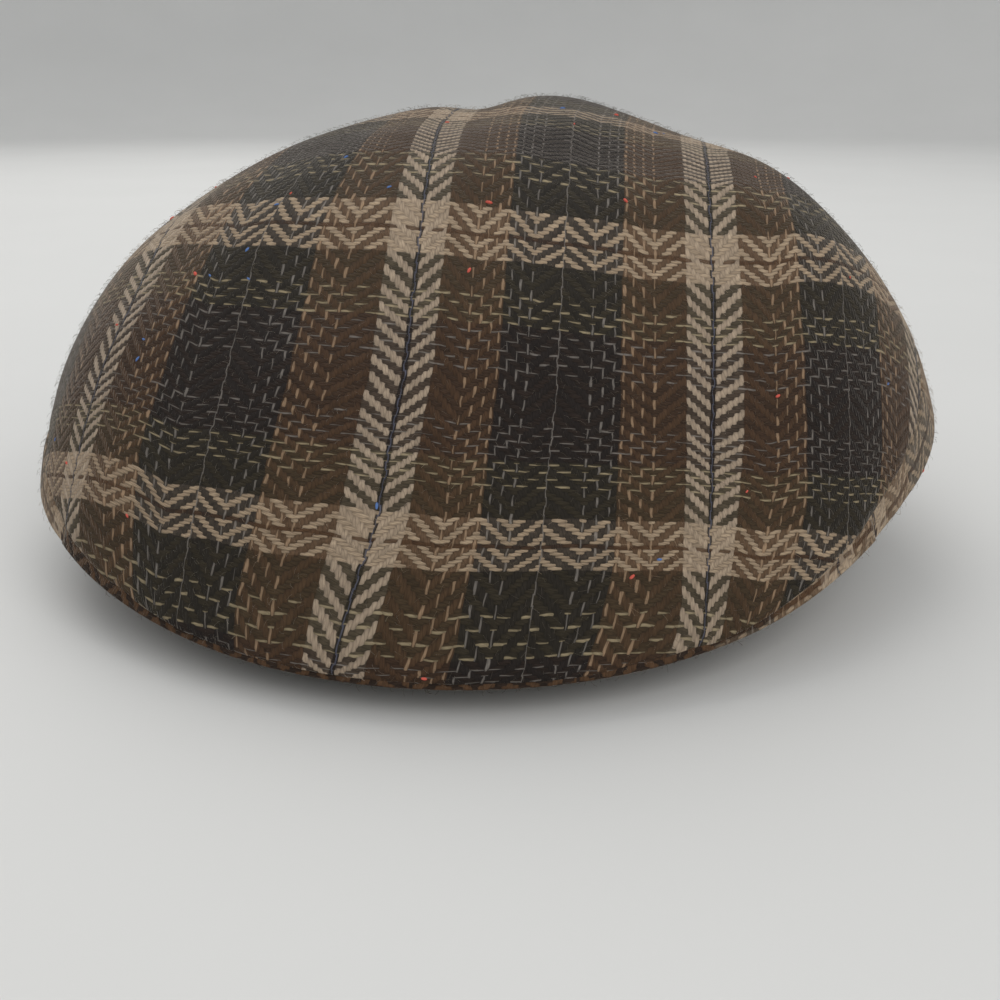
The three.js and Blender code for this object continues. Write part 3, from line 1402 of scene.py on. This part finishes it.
@dataclass
class TopPanel:
    """The full rounded top, sewn round its edge to the side panels and the peak."""

    form: CapForm
    lay: TopLay
    finish: WoolFinish
    uneven: ClothUnevenness
    columns: int = 360
    rows: int = 62
    inner_every: int = 3
    overlap: float = 1.2
    roll_width: float = 2.0
    roll_depth: float = 0.4
    roll_rows: tuple[float, ...] = (2.0, 1.5, 1.0, 0.6, 0.25, 0.0)
    edge_step: float = 0.01
    cut: Cut = Cut(width=0.30, length=0.31, held="stretched")
    name: str = "cap_top"
    node: str = "crown_top"
    slot: str = "plaid_top"

    def outer(self) -> tuple[Array, Array, Array]:
        """Gives the outer face.

        Returns:
            Points about the crown, outward normals, and yarn counts, by column and row.
        """
        bearing = np.arange(self.columns) * 360.0 / self.columns
        edge = self.form.seam_share(bearing, self.overlap)
        step = self.form.crown_point(bearing, edge) - self.form.crown_point(bearing, edge - self.edge_step)
        share_per_mm = self.edge_step / length_of(step)
        roll_start = edge[:, None] - self.roll_width * share_per_mm
        rise = np.sin(np.arange(1, self.rows + 1) / self.rows * math.pi / 2)
        rolled = edge[:, None] - np.array(self.roll_rows)[None, 1:] * share_per_mm
        share = np.concatenate([roll_start * rise[None, :], rolled], axis=1)
        bearing = np.broadcast_to(bearing[:, None], share.shape)
        points = self.form.crown_point(bearing, share)
        normals = self.form.normal(self.form.crown_point, bearing, share)
        yarns = self.lay.yarns(points[..., 0], points[..., 1])
        from_edge = (edge[:, None] - share) / share_per_mm
        roll = self.roll_depth * np.clip(1 - from_edge / self.roll_width, 0, 1) ** 2
        swell = self.uneven.swells(points[..., 0], points[..., 1])
        out = swell + self.uneven.puckers(bearing, from_edge) - roll
        return points + normals * out[..., None], normals, yarns

    def build(self, material: bpy.types.Material) -> bpy.types.Object:
        """Builds the panel.

        Args:
            material: The cloth.

        Returns:
            The panel, riding on the cap's body in place of its node.
        """
        outer, normals, yarns = self.outer()
        kept = np.arange(outer.shape[1] - 1, 0, -self.inner_every)
        inner = outer[:, kept] - normals[:, kept] * self.form.cloth
        points = np.concatenate([outer, inner], axis=1)
        counts = np.concatenate([yarns, yarns[:, kept]], axis=1)
        middle = np.zeros(1)
        pole = UP * (self.form.height(middle, middle) + self.uneven.swells(middle, middle))
        poles = np.stack([pole, pole - UP * self.form.cloth])
        beside = np.array([BESIDE_CROWN])
        pole_yarns = np.repeat(self.lay.yarns(beside, beside), 2, axis=0)
        placed = self.form.placed(np.concatenate([points.reshape(-1, 3), poles]))
        counts = np.concatenate([counts.reshape(-1, 3), pole_yarns])
        piece = make_object(self.name, placed, ring_faces(self.columns, points.shape[1]), counts)
        piece.data.materials.append(material)
        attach(piece, BODY)
        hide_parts(self.node)
        return piece

    def ground(self) -> bpy.types.Object:
        """Makes the outer face alone.

        Returns:
            A sheet for fibres and flecks to stand on.
        """
        outer, _, yarns = self.outer()
        faces = grid_faces(self.columns, outer.shape[1], closed=True)
        placed = self.form.placed(outer.reshape(-1, 3))
        return make_object(f"{self.name}_ground", placed, faces, yarns.reshape(-1, 3))


@dataclass
class SidePanel:
    """A side panel, from the crown seam over the fold and under to the hem."""

    form: CapForm
    finish: WoolFinish
    uneven: ClothUnevenness
    pitch: YarnPitch
    name: str
    node: str
    corner: float
    back: float
    columns: int = 180
    rows_above: int = 24
    rows_below: int = 24
    gap: float = 0.3
    roll_width: float = 2.0
    roll_depth: float = 0.5
    hem_round: float = 1.1
    hem_rows: int = 4
    band_rise: float = 0.12
    band_start: float = 0.6
    cut: Cut = Cut(width=0.12, length=0.33, held="stretched")
    slot: str = "plaid_side"

    def outer(self) -> tuple[Array, Array, Array, Array]:
        """Gives the outer face.

        Returns:
            Points about the crown, outward normals, yarn counts and bearings, by column and row.
        """
        half_gap = np.degrees(self.gap / 2 / self.form.ring("reach", np.array([self.corner, self.back])))
        toward_back = math.copysign(1.0, self.back - self.corner)
        ends = (self.corner + toward_back * half_gap[0], self.back - toward_back * half_gap[1])
        bearing = np.linspace(*ends, self.columns)
        edge = self.form.seam_share(bearing, self.gap)
        above = blend(edge[:, None], 1.0, np.arange(self.rows_above)[None, :] / self.rows_above)
        rows_down = np.arange(self.rows_below + 1) / self.rows_below
        below = np.broadcast_to(rows_down, (self.columns, len(rows_down)))
        turn = bearing[:, None]
        upper = self.form.crown_point(turn, above)
        lower = self.form.under_point(turn, below)
        normals = np.concatenate(
            [
                self.form.normal(self.form.crown_point, turn, above),
                self.form.normal(self.form.under_point, turn, below),
            ],
            axis=1,
        )
        points = np.concatenate([upper, lower], axis=1)
        from_edge = walked(points)
        above_fold = from_edge[:, self.rows_above : self.rows_above + 1] - from_edge
        fold = lower[:, 0]
        run = walked(fold[None])[0]
        band = self.band_start + self.band_rise * run[:, None]
        ends_along = np.broadcast_to(run[:, None] / self.pitch.end, from_edge.shape)
        picks = (above_fold - band) / self.pitch.pick
        yarns = np.stack([ends_along, picks, np.zeros_like(from_edge)], axis=-1)
        turn = np.broadcast_to(turn, from_edge.shape)
        to_hem = from_edge[:, -1:] - from_edge
        quiet = np.clip(to_hem / self.uneven.pucker_reach, 0, 1)
        roll = self.roll_depth * np.clip(1 - from_edge / self.roll_width, 0, 1) ** 2
        out = self.uneven.swells(points[..., 0], points[..., 1]) + self.uneven.puckers(turn, from_edge)
        return points + normals * (out * quiet - roll)[..., None], normals, yarns, turn

    def build(self, material: bpy.types.Material) -> bpy.types.Object:
        """Builds the panel.

        Args:
            material: The cloth.

        Returns:
            The panel, riding on the cap's body in place of its node.
        """
        outer, normals, yarns, turn = self.outer()
        inner = outer - normals * self.form.cloth
        direction = self.form.head_direction(turn[:, 0])[:, None, :]
        corner = np.linspace(0.0, math.pi / 2, self.hem_rows + 1)
        sideways = self.hem_round * (1 - np.cos(corner))[None, :, None]
        upward = self.hem_round * (1 - np.sin(corner))[None, :, None]
        hem = outer[:, -1:]
        hem_out = hem - direction * sideways + UP * upward
        hem_in = hem - direction * (self.form.hem_cloth - sideways) + UP * upward
        loops = np.concatenate([outer[:, :-1], hem_out, hem_in[:, ::-1], inner[:, -2::-1]], axis=1)
        rounded = np.repeat(yarns[:, -1:], self.hem_rows + 1, axis=1)
        counts = np.concatenate([yarns[:, :-1], rounded, rounded, yarns[:, -2::-1]], axis=1)
        faces = strip_faces(self.columns, loops.shape[1])
        placed = self.form.placed(loops.reshape(-1, 3))
        piece = make_object(self.name, placed, faces, counts.reshape(-1, 3))
        piece.data.materials.append(material)
        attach(piece, BODY)
        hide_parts(self.node)
        return piece

    def ground(self) -> bpy.types.Object:
        """Makes the outer face alone.

        Returns:
            A sheet for fibres and flecks to stand on.
        """
        outer, _, yarns, _ = self.outer()
        faces = grid_faces(self.columns, outer.shape[1], closed=False)
        placed = self.form.placed(outer.reshape(-1, 3))
        return make_object(f"{self.name}_ground", placed, faces, yarns.reshape(-1, 3))


@dataclass
class Peak:
    """The stiff peak, which runs back under the top panel to the head opening.

    A strip of its edge shows below the crown seam.
    """

    form: CapForm
    finish: WoolFinish
    pitch: YarnPitch
    corner: float = PEAK_CORNER
    corner_gap: float = 0.4
    gap: float = 0.3
    thickness: float = 4.0
    roll_inward: float = 2.5
    roll_down: float = 1.2
    roll_bulge: float = 0.25
    edge_turn: float = 0.5
    edge_drop: float = 0.5
    columns: int = 160
    rows: int = 16
    edge_rows: int = 6
    band_from: float = 24.0
    band_fade: float = 5.0
    band_share: float = 0.5
    name: str = "cap_peak"
    node: str = "peak"
    slot: str = "plaid_peak"

    def loops(self) -> tuple[Array, int]:
        """Gives the peak's cross sections.

        Returns:
            Closed loops about the crown by column, and the number of points on the outer side of a loop.
        """
        form = self.form
        reach = float(form.ring("reach", self.corner))
        half_gap = math.degrees(self.corner_gap / 2 / reach)
        bearing = np.linspace(-self.corner + half_gap, self.corner - half_gap, self.columns)
        edge = form.seam_share(bearing, self.gap)
        normal = form.normal(form.crown_point, bearing, edge)
        top = form.crown_point(bearing, edge)
        under_top = top - normal * (form.cloth + self.gap)
        fold = form.crown_point(bearing, 1.0)
        direction = form.head_direction(bearing)
        roll = fold - direction * self.roll_inward - UP * self.roll_down
        hem = form.hem_point(bearing)
        hem_top = hem + UP * self.thickness
        share = (np.arange(1, self.edge_rows + 1) / self.edge_rows)[:, None, None]
        strip = blend(top - normal * self.edge_drop, fold, share)
        rolled = blend(fold, roll, share[1::2])
        rolled[:-1] = rolled[:-1] + direction * (self.roll_bulge * self.roll_inward)
        back = blend(roll, hem, (np.arange(1, self.rows + 1) / self.rows)[:, None, None])
        outer = np.concatenate([(top - normal * self.edge_drop)[None], strip, rolled, back])
        inner_share = np.linspace(0.0, 1.0, len(outer) - 1)[:, None, None]
        inner = blend(under_top, hem_top, inner_share)
        inner = np.concatenate([blend(top, under_top, self.edge_turn)[None], inner])
        return np.concatenate([outer, inner[::-1]]).transpose(1, 0, 2), len(outer)

    def yarns(self, loops: Array) -> Array:
        """Counts ends along the edge and picks round the profile.

        A light band comes up along the right of the edge.

        Args:
            loops: Closed loops about the crown by column.

        Returns:
            Ends, picks and how plain the cloth is, by column and point.
        """
        from_seam = walked(loops)
        fold = loops[:, self.edge_rows]
        run = walked(fold[None])[0]
        bearing = np.degrees(np.arctan2(fold[:, 0], -fold[:, 1]))
        ends = np.broadcast_to(run[:, None] / self.pitch.end, from_seam.shape)
        middle = self.band_share * from_seam[:, self.edge_rows]
        picks = (from_seam - middle[:, None]) / self.pitch.pick + HALF_YARN
        across_band = np.clip((self.band_from - bearing) / self.band_fade, 0.0, 1.0)
        past_strip = np.clip((np.arange(loops.shape[1]) - self.edge_rows) / self.edge_rows, 0.0, 1.0)
        plain = np.maximum(across_band[:, None], past_strip[None, :])
        return np.stack([ends, picks, plain], axis=-1)

    def build(self, material: bpy.types.Material) -> bpy.types.Object:
        """Builds the peak.

        Args:
            material: The cloth.

        Returns:
            The peak, riding on the cap's body in place of its node.
        """
        loops, _ = self.loops()
        faces = strip_faces(self.columns, loops.shape[1])
        counts = self.yarns(loops).reshape(-1, 3)
        piece = make_object(self.name, self.form.placed(loops.reshape(-1, 3)), faces, counts)
        piece.data.materials.append(material)
        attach(piece, BODY)
        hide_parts(self.node)
        return piece

    def ground(self) -> bpy.types.Object:
        """Makes the outer side alone.

        Returns:
            A sheet for fibres to stand on.
        """
        loops, outer_points = self.loops()
        outer = loops[:, :outer_points]
        faces = grid_faces(self.columns, outer_points, closed=False)
        placed = self.form.placed(outer.reshape(-1, 3))
        counts = self.yarns(loops)[:, :outer_points]
        return make_object(f"{self.name}_ground", placed, faces, counts.reshape(-1, 3))


def realised(
    name: str, ground: bpy.types.Object, tree: bpy.types.NodeTree, sizes: dict[str, object]
) -> bpy.types.Object:
    """Runs a Geometry Nodes tree on a ground, and keeps the result as a plain mesh.

    Args:
        name: Name of the new piece.
        ground: Object that the tree works on.
        tree: The tree, whose first input is the geometry.
        sizes: Values of the tree's named inputs.

    Returns:
        The new object, linked to the scene.
    """
    modifier = ground.modifiers.new(name, "NODES")
    modifier.node_group = tree
    for item in tree.interface.items_tree:
        if item.in_out == "INPUT" and item.name in sizes:
            modifier[item.identifier] = sizes[item.name]
    ground.update_tag()
    depsgraph = bpy.context.evaluated_depsgraph_get()
    mesh = bpy.data.meshes.new_from_object(ground.evaluated_get(depsgraph), depsgraph=depsgraph)
    ground.modifiers.remove(modifier)
    mesh.name = name
    mesh.polygons.foreach_set("use_smooth", [True] * len(mesh.polygons))
    piece = bpy.data.objects.new(name, mesh)
    bpy.context.scene.collection.objects.link(piece)
    return piece


class ScatterKind(Enum):
    """What a scatter tree puts on the cloth."""

    FIBRE = "fibre"
    FLECK = "fleck"


@dataclass(frozen=True)
class FibreCurl:
    """How a loose fibre bends: where its bend and its tip lie from its root, in shares of its length."""

    bend: Place = (0.18, 0.0, 0.50)
    tip: Place = (0.80, 0.15, 0.48)
    segments: int = 2
    sides: int = 3


@dataclass(frozen=True)
class ClothScatter:
    """Small things strewn over the cloth by Geometry Nodes: loose fibres, or flecks of dyed wool."""

    kind: ScatterKind
    name: str
    density: float
    length: float
    thickness: float
    seed: int
    lowest: float = 0.006
    smallest: float = 0.55
    largest: float = 1.35
    fleck_rounds: int = 2
    curl: FibreCurl = FibreCurl()

    def shape(self, desk: Desk, length: Value, thickness: Value) -> Socket:
        """Adds the shape of one thing.

        Args:
            desk: Tree that the nodes go in.
            length: Its length.
            thickness: Its thickness.

        Returns:
            The shape's geometry.
        """
        if self.kind is ScatterKind.FIBRE:
            root = (0.0, 0.0, 0.0)
            bend = desk.vector(*(desk.sum("MULTIPLY", length, share) for share in self.curl.bend))
            tip = desk.vector(*(desk.sum("MULTIPLY", length, share) for share in self.curl.tip))
            strand = desk.add("GeometryNodeCurveQuadraticBezier")
            desk.fill(strand, {"Resolution": self.curl.segments, "Start": root, "Middle": bend, "End": tip})
            ring = desk.add("GeometryNodeCurvePrimitiveCircle", mode="RADIUS")
            desk.fill(ring, {"Resolution": self.curl.sides, "Radius": desk.sum("MULTIPLY", thickness, 0.5)})
            tube = desk.add("GeometryNodeCurveToMesh")
            profile = ring.outputs["Curve"]
            desk.fill(tube, {"Curve": strand.outputs["Curve"], "Profile Curve": profile, "Fill Caps": True})
            return tube.outputs["Mesh"]
        ball = desk.add("GeometryNodeMeshIcoSphere")
        desk.fill(ball, {"Radius": 0.5, "Subdivisions": self.fleck_rounds})
        size = desk.add("GeometryNodeTransform")
        stretched = desk.vector(length, thickness, thickness)
        desk.fill(size, {"Geometry": ball.outputs["Mesh"], "Scale": stretched})
        return size.outputs["Geometry"]

    def chance(self, desk: Desk, seed: Value, low: float, high: float) -> Socket:
        """Gives a random number for each point.

        Args:
            desk: Tree that the nodes go in.
            seed: Seed of the numbers.
            low: Lowest number.
            high: Highest number.

        Returns:
            The numbers' socket.
        """
        node = desk.add("FunctionNodeRandomValue", data_type="FLOAT")
        desk.feed(node.inputs[2], low)
        desk.feed(node.inputs[3], high)
        desk.feed(node.inputs["Seed"], seed)
        return node.outputs[1]

    def tree(self) -> bpy.types.NodeTree:
        """Builds the scatter tree.

        Returns:
            A tree with named inputs, which ends in realised instances with their material.
        """
        desk = Desk(bpy.data.node_groups.new(f"Scatter {self.name}", "GeometryNodeTree"))
        desk.name_sockets(
            "INPUT",
            {
                "Ground": "Geometry",
                "Density": "Float",
                "Length": "Float",
                "Thickness": "Float",
                "Lowest": "Float",
                "Seed": "Int",
                "Material": "Material",
            },
        )
        desk.name_sockets("OUTPUT", {"Scattered": "Geometry"})
        given = desk.add("NodeGroupInput").outputs
        place = desk.add("ShaderNodeSeparateXYZ")
        desk.feed(place.inputs[0], desk.add("GeometryNodeInputPosition").outputs[0])
        points = desk.add("GeometryNodeDistributePointsOnFaces", distribute_method="RANDOM")
        desk.fill(
            points,
            {
                "Mesh": given["Ground"],
                "Selection": desk.sum("GREATER_THAN", place.outputs[2], given["Lowest"]),
                "Density": given["Density"],
                "Seed": given["Seed"],
            },
        )
        turn = desk.add("FunctionNodeEulerToRotation")
        spin = self.chance(desk, given["Seed"], 0.0, 2 * math.pi)
        desk.feed(turn.inputs[0], desk.vector(0.0, 0.0, spin))
        rotated = desk.add("FunctionNodeRotateRotation", rotation_space="LOCAL")
        desk.fill(rotated, {"Rotation": points.outputs["Rotation"], "Rotate By": turn.outputs[0]})
        placed = desk.add("GeometryNodeInstanceOnPoints")
        desk.fill(
            placed,
            {
                "Points": points.outputs["Points"],
                "Instance": self.shape(desk, given["Length"], given["Thickness"]),
                "Rotation": rotated.outputs["Rotation"],
                "Scale": self.chance(desk, given["Seed"], self.smallest, self.largest),
            },
        )
        plain = desk.add("GeometryNodeRealizeInstances")
        desk.feed(plain.inputs["Geometry"], placed.outputs["Instances"])
        coloured = desk.add("GeometryNodeSetMaterial")
        desk.fill(coloured, {"Geometry": plain.outputs["Geometry"], "Material": given["Material"]})
        result = desk.add("NodeGroupOutput")
        desk.feed(result.inputs["Scattered"], coloured.outputs["Geometry"])
        return desk.tree

    def build(
        self,
        panel: str,
        slot: str,
        ground: bpy.types.Object,
        tree: bpy.types.NodeTree,
        material: bpy.types.Material,
    ) -> bpy.types.Object:
        """Strews the things over a panel.

        Args:
            panel: Name of the panel.
            slot: Not used.
            ground: Outer face of the panel.
            tree: The scatter tree.
            material: Finish of the things.

        Returns:
            The new piece, riding on the cap's body.
        """
        sizes = {
            "Density": self.density,
            "Length": self.length,
            "Thickness": self.thickness,
            "Lowest": self.lowest,
            "Seed": self.seed,
            "Material": material,
        }
        piece = realised(f"{panel}_{self.name}", ground, tree, sizes)
        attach(piece, BODY)
        return piece


@dataclass(frozen=True)
class FleckFinish:
    """Dyed wool of the small flecks."""

    name: str
    look: YarnLook
    shade_scale: float = 1800.0
    paler: float = 1.8
    roughness: float = 0.9
    gloss: float = 0.2

    def material(self) -> bpy.types.Material:
        """Builds the material, with its shade varied along the wool.

        Returns:
            The new material.
        """
        material, desk = new_material(self.name)
        place = desk.add("ShaderNodeTexCoord")
        shade = desk.noise(place.outputs["Object"], self.shade_scale)
        dyed = self.look.linear()
        pale = tuple(min(1.0, channel * self.paler) for channel in dyed)
        desk.surface(
            {
                "Base Color": desk.colour(shade.outputs[0], (*dyed, 1.0), (*pale, 1.0)),
                "Roughness": self.roughness,
                "Specular IOR Level": self.gloss,
            }
        )
        return material


@dataclass(frozen=True)
class Lamp:
    """A square light that faces the cap, in metres and watts."""

    name: str
    place: Place
    size: float
    watts: float


LAMPS: tuple[Lamp, ...] = (
    Lamp("window_light", place=(-0.6, 1.1, 1.6), size=1.8, watts=16.5),
    Lamp("room_fill", place=(1.0, -1.1, 1.2), size=1.6, watts=11.5),
)


@dataclass(frozen=True)
class Studio:
    """The pale floor that sweeps up all round, the soft light from the back left, and the camera."""

    floor_radius: float = 2.4
    sweep_radius: float = 1.0
    wall_top: float = 1.8
    floor_columns: int = 96
    floor_hole: float = 0.0001
    sweep_rows: int = 16
    floor_tone: Colour = (0.66, 0.66, 0.645, 1.0)
    floor_pale: Colour = (0.70, 0.70, 0.685, 1.0)
    floor_roughness: float = 0.6
    cloud_scale: float = 6.0
    cloud_detail: float = 3.0
    lamp_tint: tuple[float, float, float] = (1.0, 0.99, 0.97)
    sky_tint: Colour = (0.97, 0.98, 1.0, 1.0)
    sky_strength: float = 0.66
    eye: Place = (0.05317, -0.32698, 0.1267)
    pitch: float = 21.25
    yaw: float = 9.0
    lens: float = 38.88
    sensor: float = 36.0
    nearest_seen: float = 0.01

    def floor(self) -> None:
        """Builds the floor: a round flat that curves up into a low wall on every side."""
        turn = np.linspace(0.0, math.pi / 2, self.sweep_rows + 1)
        radius = np.concatenate([[self.floor_hole], self.floor_radius + self.sweep_radius * np.sin(turn)])
        height = np.concatenate([[0.0], self.sweep_radius * (1 - np.cos(turn))])
        radius = np.append(radius, radius[-1])
        height = np.append(height, self.wall_top)
        angle = np.arange(self.floor_columns)[:, None] * 2 * math.pi / self.floor_columns
        level = np.broadcast_to(height[None, :], (self.floor_columns, len(height)))
        points = np.stack([radius * np.cos(angle), radius * np.sin(angle), level], axis=-1)
        mesh = bpy.data.meshes.new("pale_floor")
        faces = grid_faces(self.floor_columns, len(height), closed=True)
        mesh.from_pydata(points.reshape(-1, 3).tolist(), [], faces)
        mesh.polygons.foreach_set("use_smooth", [True] * len(mesh.polygons))
        material, desk = new_material("pale_floor")
        place = desk.add("ShaderNodeTexCoord")
        cloud = desk.noise(place.outputs["Object"], self.cloud_scale, self.cloud_detail)
        tone = desk.colour(cloud.outputs[0], self.floor_tone, self.floor_pale)
        desk.surface({"Base Color": tone, "Roughness": self.floor_roughness})
        mesh.materials.append(material)
        floor = bpy.data.objects.new("pale_floor", mesh)
        bpy.context.scene.collection.objects.link(floor)

    def lamp(self, lamp: Lamp) -> None:
        """Adds a lamp, turned to face the cap.

        Args:
            lamp: The lamp's sizes.
        """
        light = bpy.data.lights.new(lamp.name, "AREA")
        light.size = lamp.size
        light.energy = lamp.watts
        light.color = self.lamp_tint
        x, y, z = lamp.place
        tilt = math.atan2(math.hypot(x, y), z)
        turn = math.atan2(y, x) + math.pi / 2
        stand = bpy.data.objects.new(lamp.name, light)
        stand.location = lamp.place
        stand.rotation_euler = (tilt, 0.0, turn)
        stand.visible_camera = False
        bpy.context.scene.collection.objects.link(stand)

    def light(self) -> None:
        """Adds the window light, a weak fill and the room's light."""
        for lamp in LAMPS:
            self.lamp(lamp)
        world = bpy.data.worlds.new("room")
        world.use_nodes = True
        sky = world.node_tree.nodes["Background"]
        sky.inputs["Color"].default_value = self.sky_tint
        sky.inputs["Strength"].default_value = self.sky_strength
        bpy.context.scene.world = world
        bpy.context.scene.view_settings.view_transform = "Standard"

    def camera(self) -> None:
        """Adds the camera at the photograph's viewing angle."""
        lens = bpy.data.cameras.new("camera")
        lens.sensor_width = self.sensor
        lens.lens = self.lens
        lens.clip_start = self.nearest_seen
        camera = bpy.data.objects.new("camera", lens)
        camera.location = self.eye
        camera.rotation_euler = (math.radians(90.0 - self.pitch), 0.0, math.radians(self.yaw))
        bpy.context.scene.collection.objects.link(camera)
        bpy.context.scene.camera = camera


@dataclass
class FlatCap:
    """The whole cap: four cut pieces, loose fibres and flecks."""

    form: CapForm = CapForm()
    pitch: YarnPitch = YarnPitch()

    def panels(self) -> tuple[TopPanel, SidePanel, SidePanel, Peak]:
        """Cuts the four panels.

        Returns:
            The top, the right side, the left side and the peak.
        """
        top = TopPanel(self.form, TopLay(self.form), WoolFinish("plaid_top_wool"), ClothUnevenness(seed=5))
        # The side panels have a weaker real sheen, and a little painted sheen mixed into their colour in
        # its place.
        side_finish = WoolFinish(
            "plaid_side_wool", wander=1.8, felting=0.8, painted_sheen=0.03, sheen=0.22, sheen_roughness=0.4
        )
        right = SidePanel(
            self.form,
            side_finish,
            ClothUnevenness(seed=8),
            self.pitch,
            name="cap_side_right",
            node="side_right",
            corner=PEAK_CORNER,
            back=BACK_SEAM,
        )
        left = SidePanel(
            self.form,
            side_finish,
            ClothUnevenness(seed=9),
            self.pitch,
            name="cap_side_left",
            node="side_left",
            corner=360.0 - PEAK_CORNER,
            back=BACK_SEAM,
        )
        peak = Peak(self.form, WoolFinish("plaid_peak_wool", wander=1.8, felting=0.8), self.pitch)
        return top, right, left, peak

    def scatters(self, weave: bpy.types.NodeTree) -> list[tuple[ClothScatter, bpy.types.Material]]:
        """Gives the loose fibres and the flecks, with their finishes.

        Args:
            weave: Shader group of the weave.

        Returns:
            Each scatter and its material.
        """
        fuzz = ClothScatter(
            ScatterKind.FIBRE, "fuzz", density=156000.0, length=0.0017, thickness=0.00005, seed=21
        )
        red = ClothScatter(
            ScatterKind.FLECK, "red_flecks", density=380.0, length=0.0015, thickness=0.0007, seed=31
        )
        blue = ClothScatter(
            ScatterKind.FLECK, "blue_flecks", density=220.0, length=0.0014, thickness=0.0006, seed=41
        )
        # The loose fibres are paled by painted sheen, for the light that they catch.
        fuzz_wool = WoolFinish("loose_wool", wander=0.0, heather=0.4, painted_sheen=0.22, relief=0.0001)
        red_wool = FleckFinish("red_wool", YarnLook(178, 82, 70, 1.0))
        blue_wool = FleckFinish("blue_wool", YarnLook(78, 104, 150, 1.0))
        return [(fuzz, fuzz_wool.material(weave)), (red, red_wool.material()), (blue, blue_wool.material())]

    def build(self) -> None:
        """Builds and dresses every piece."""
        weave = HerringboneWeave().group()
        top, right, left, peak = self.panels()
        top_wool = top.finish.material(weave)
        side_wool = right.finish.material(weave)
        peak_wool = peak.finish.material(weave)
        cloths = [top.build(top_wool), right.build(side_wool), left.build(side_wool), peak.build(peak_wool)]
        grounds = [panel.ground() for panel in (top, right, left, peak)]
        for scatter, material in self.scatters(weave):
            tree = scatter.tree()
            for panel, ground in zip((top, right, left, peak), grounds):
                if panel is not peak or scatter.kind is ScatterKind.FIBRE:
                    cloths.append(scatter.build(panel.name, panel.slot, ground, tree, material))
        for ground in grounds:
            mesh = ground.data
            bpy.data.objects.remove(ground)
            bpy.data.meshes.remove(mesh)
        for piece in cloths:
            log.info("%s: %d triangles", piece.name, count_triangles(piece.data))


def main() -> None:
    """Builds the cap and its studio."""
    logging.basicConfig(level=logging.INFO, format="%(message)s")
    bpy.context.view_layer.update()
    studio = Studio()
    studio.camera()
    studio.floor()
    studio.light()
    FlatCap().build()


if __name__ == "__main__":
    main()
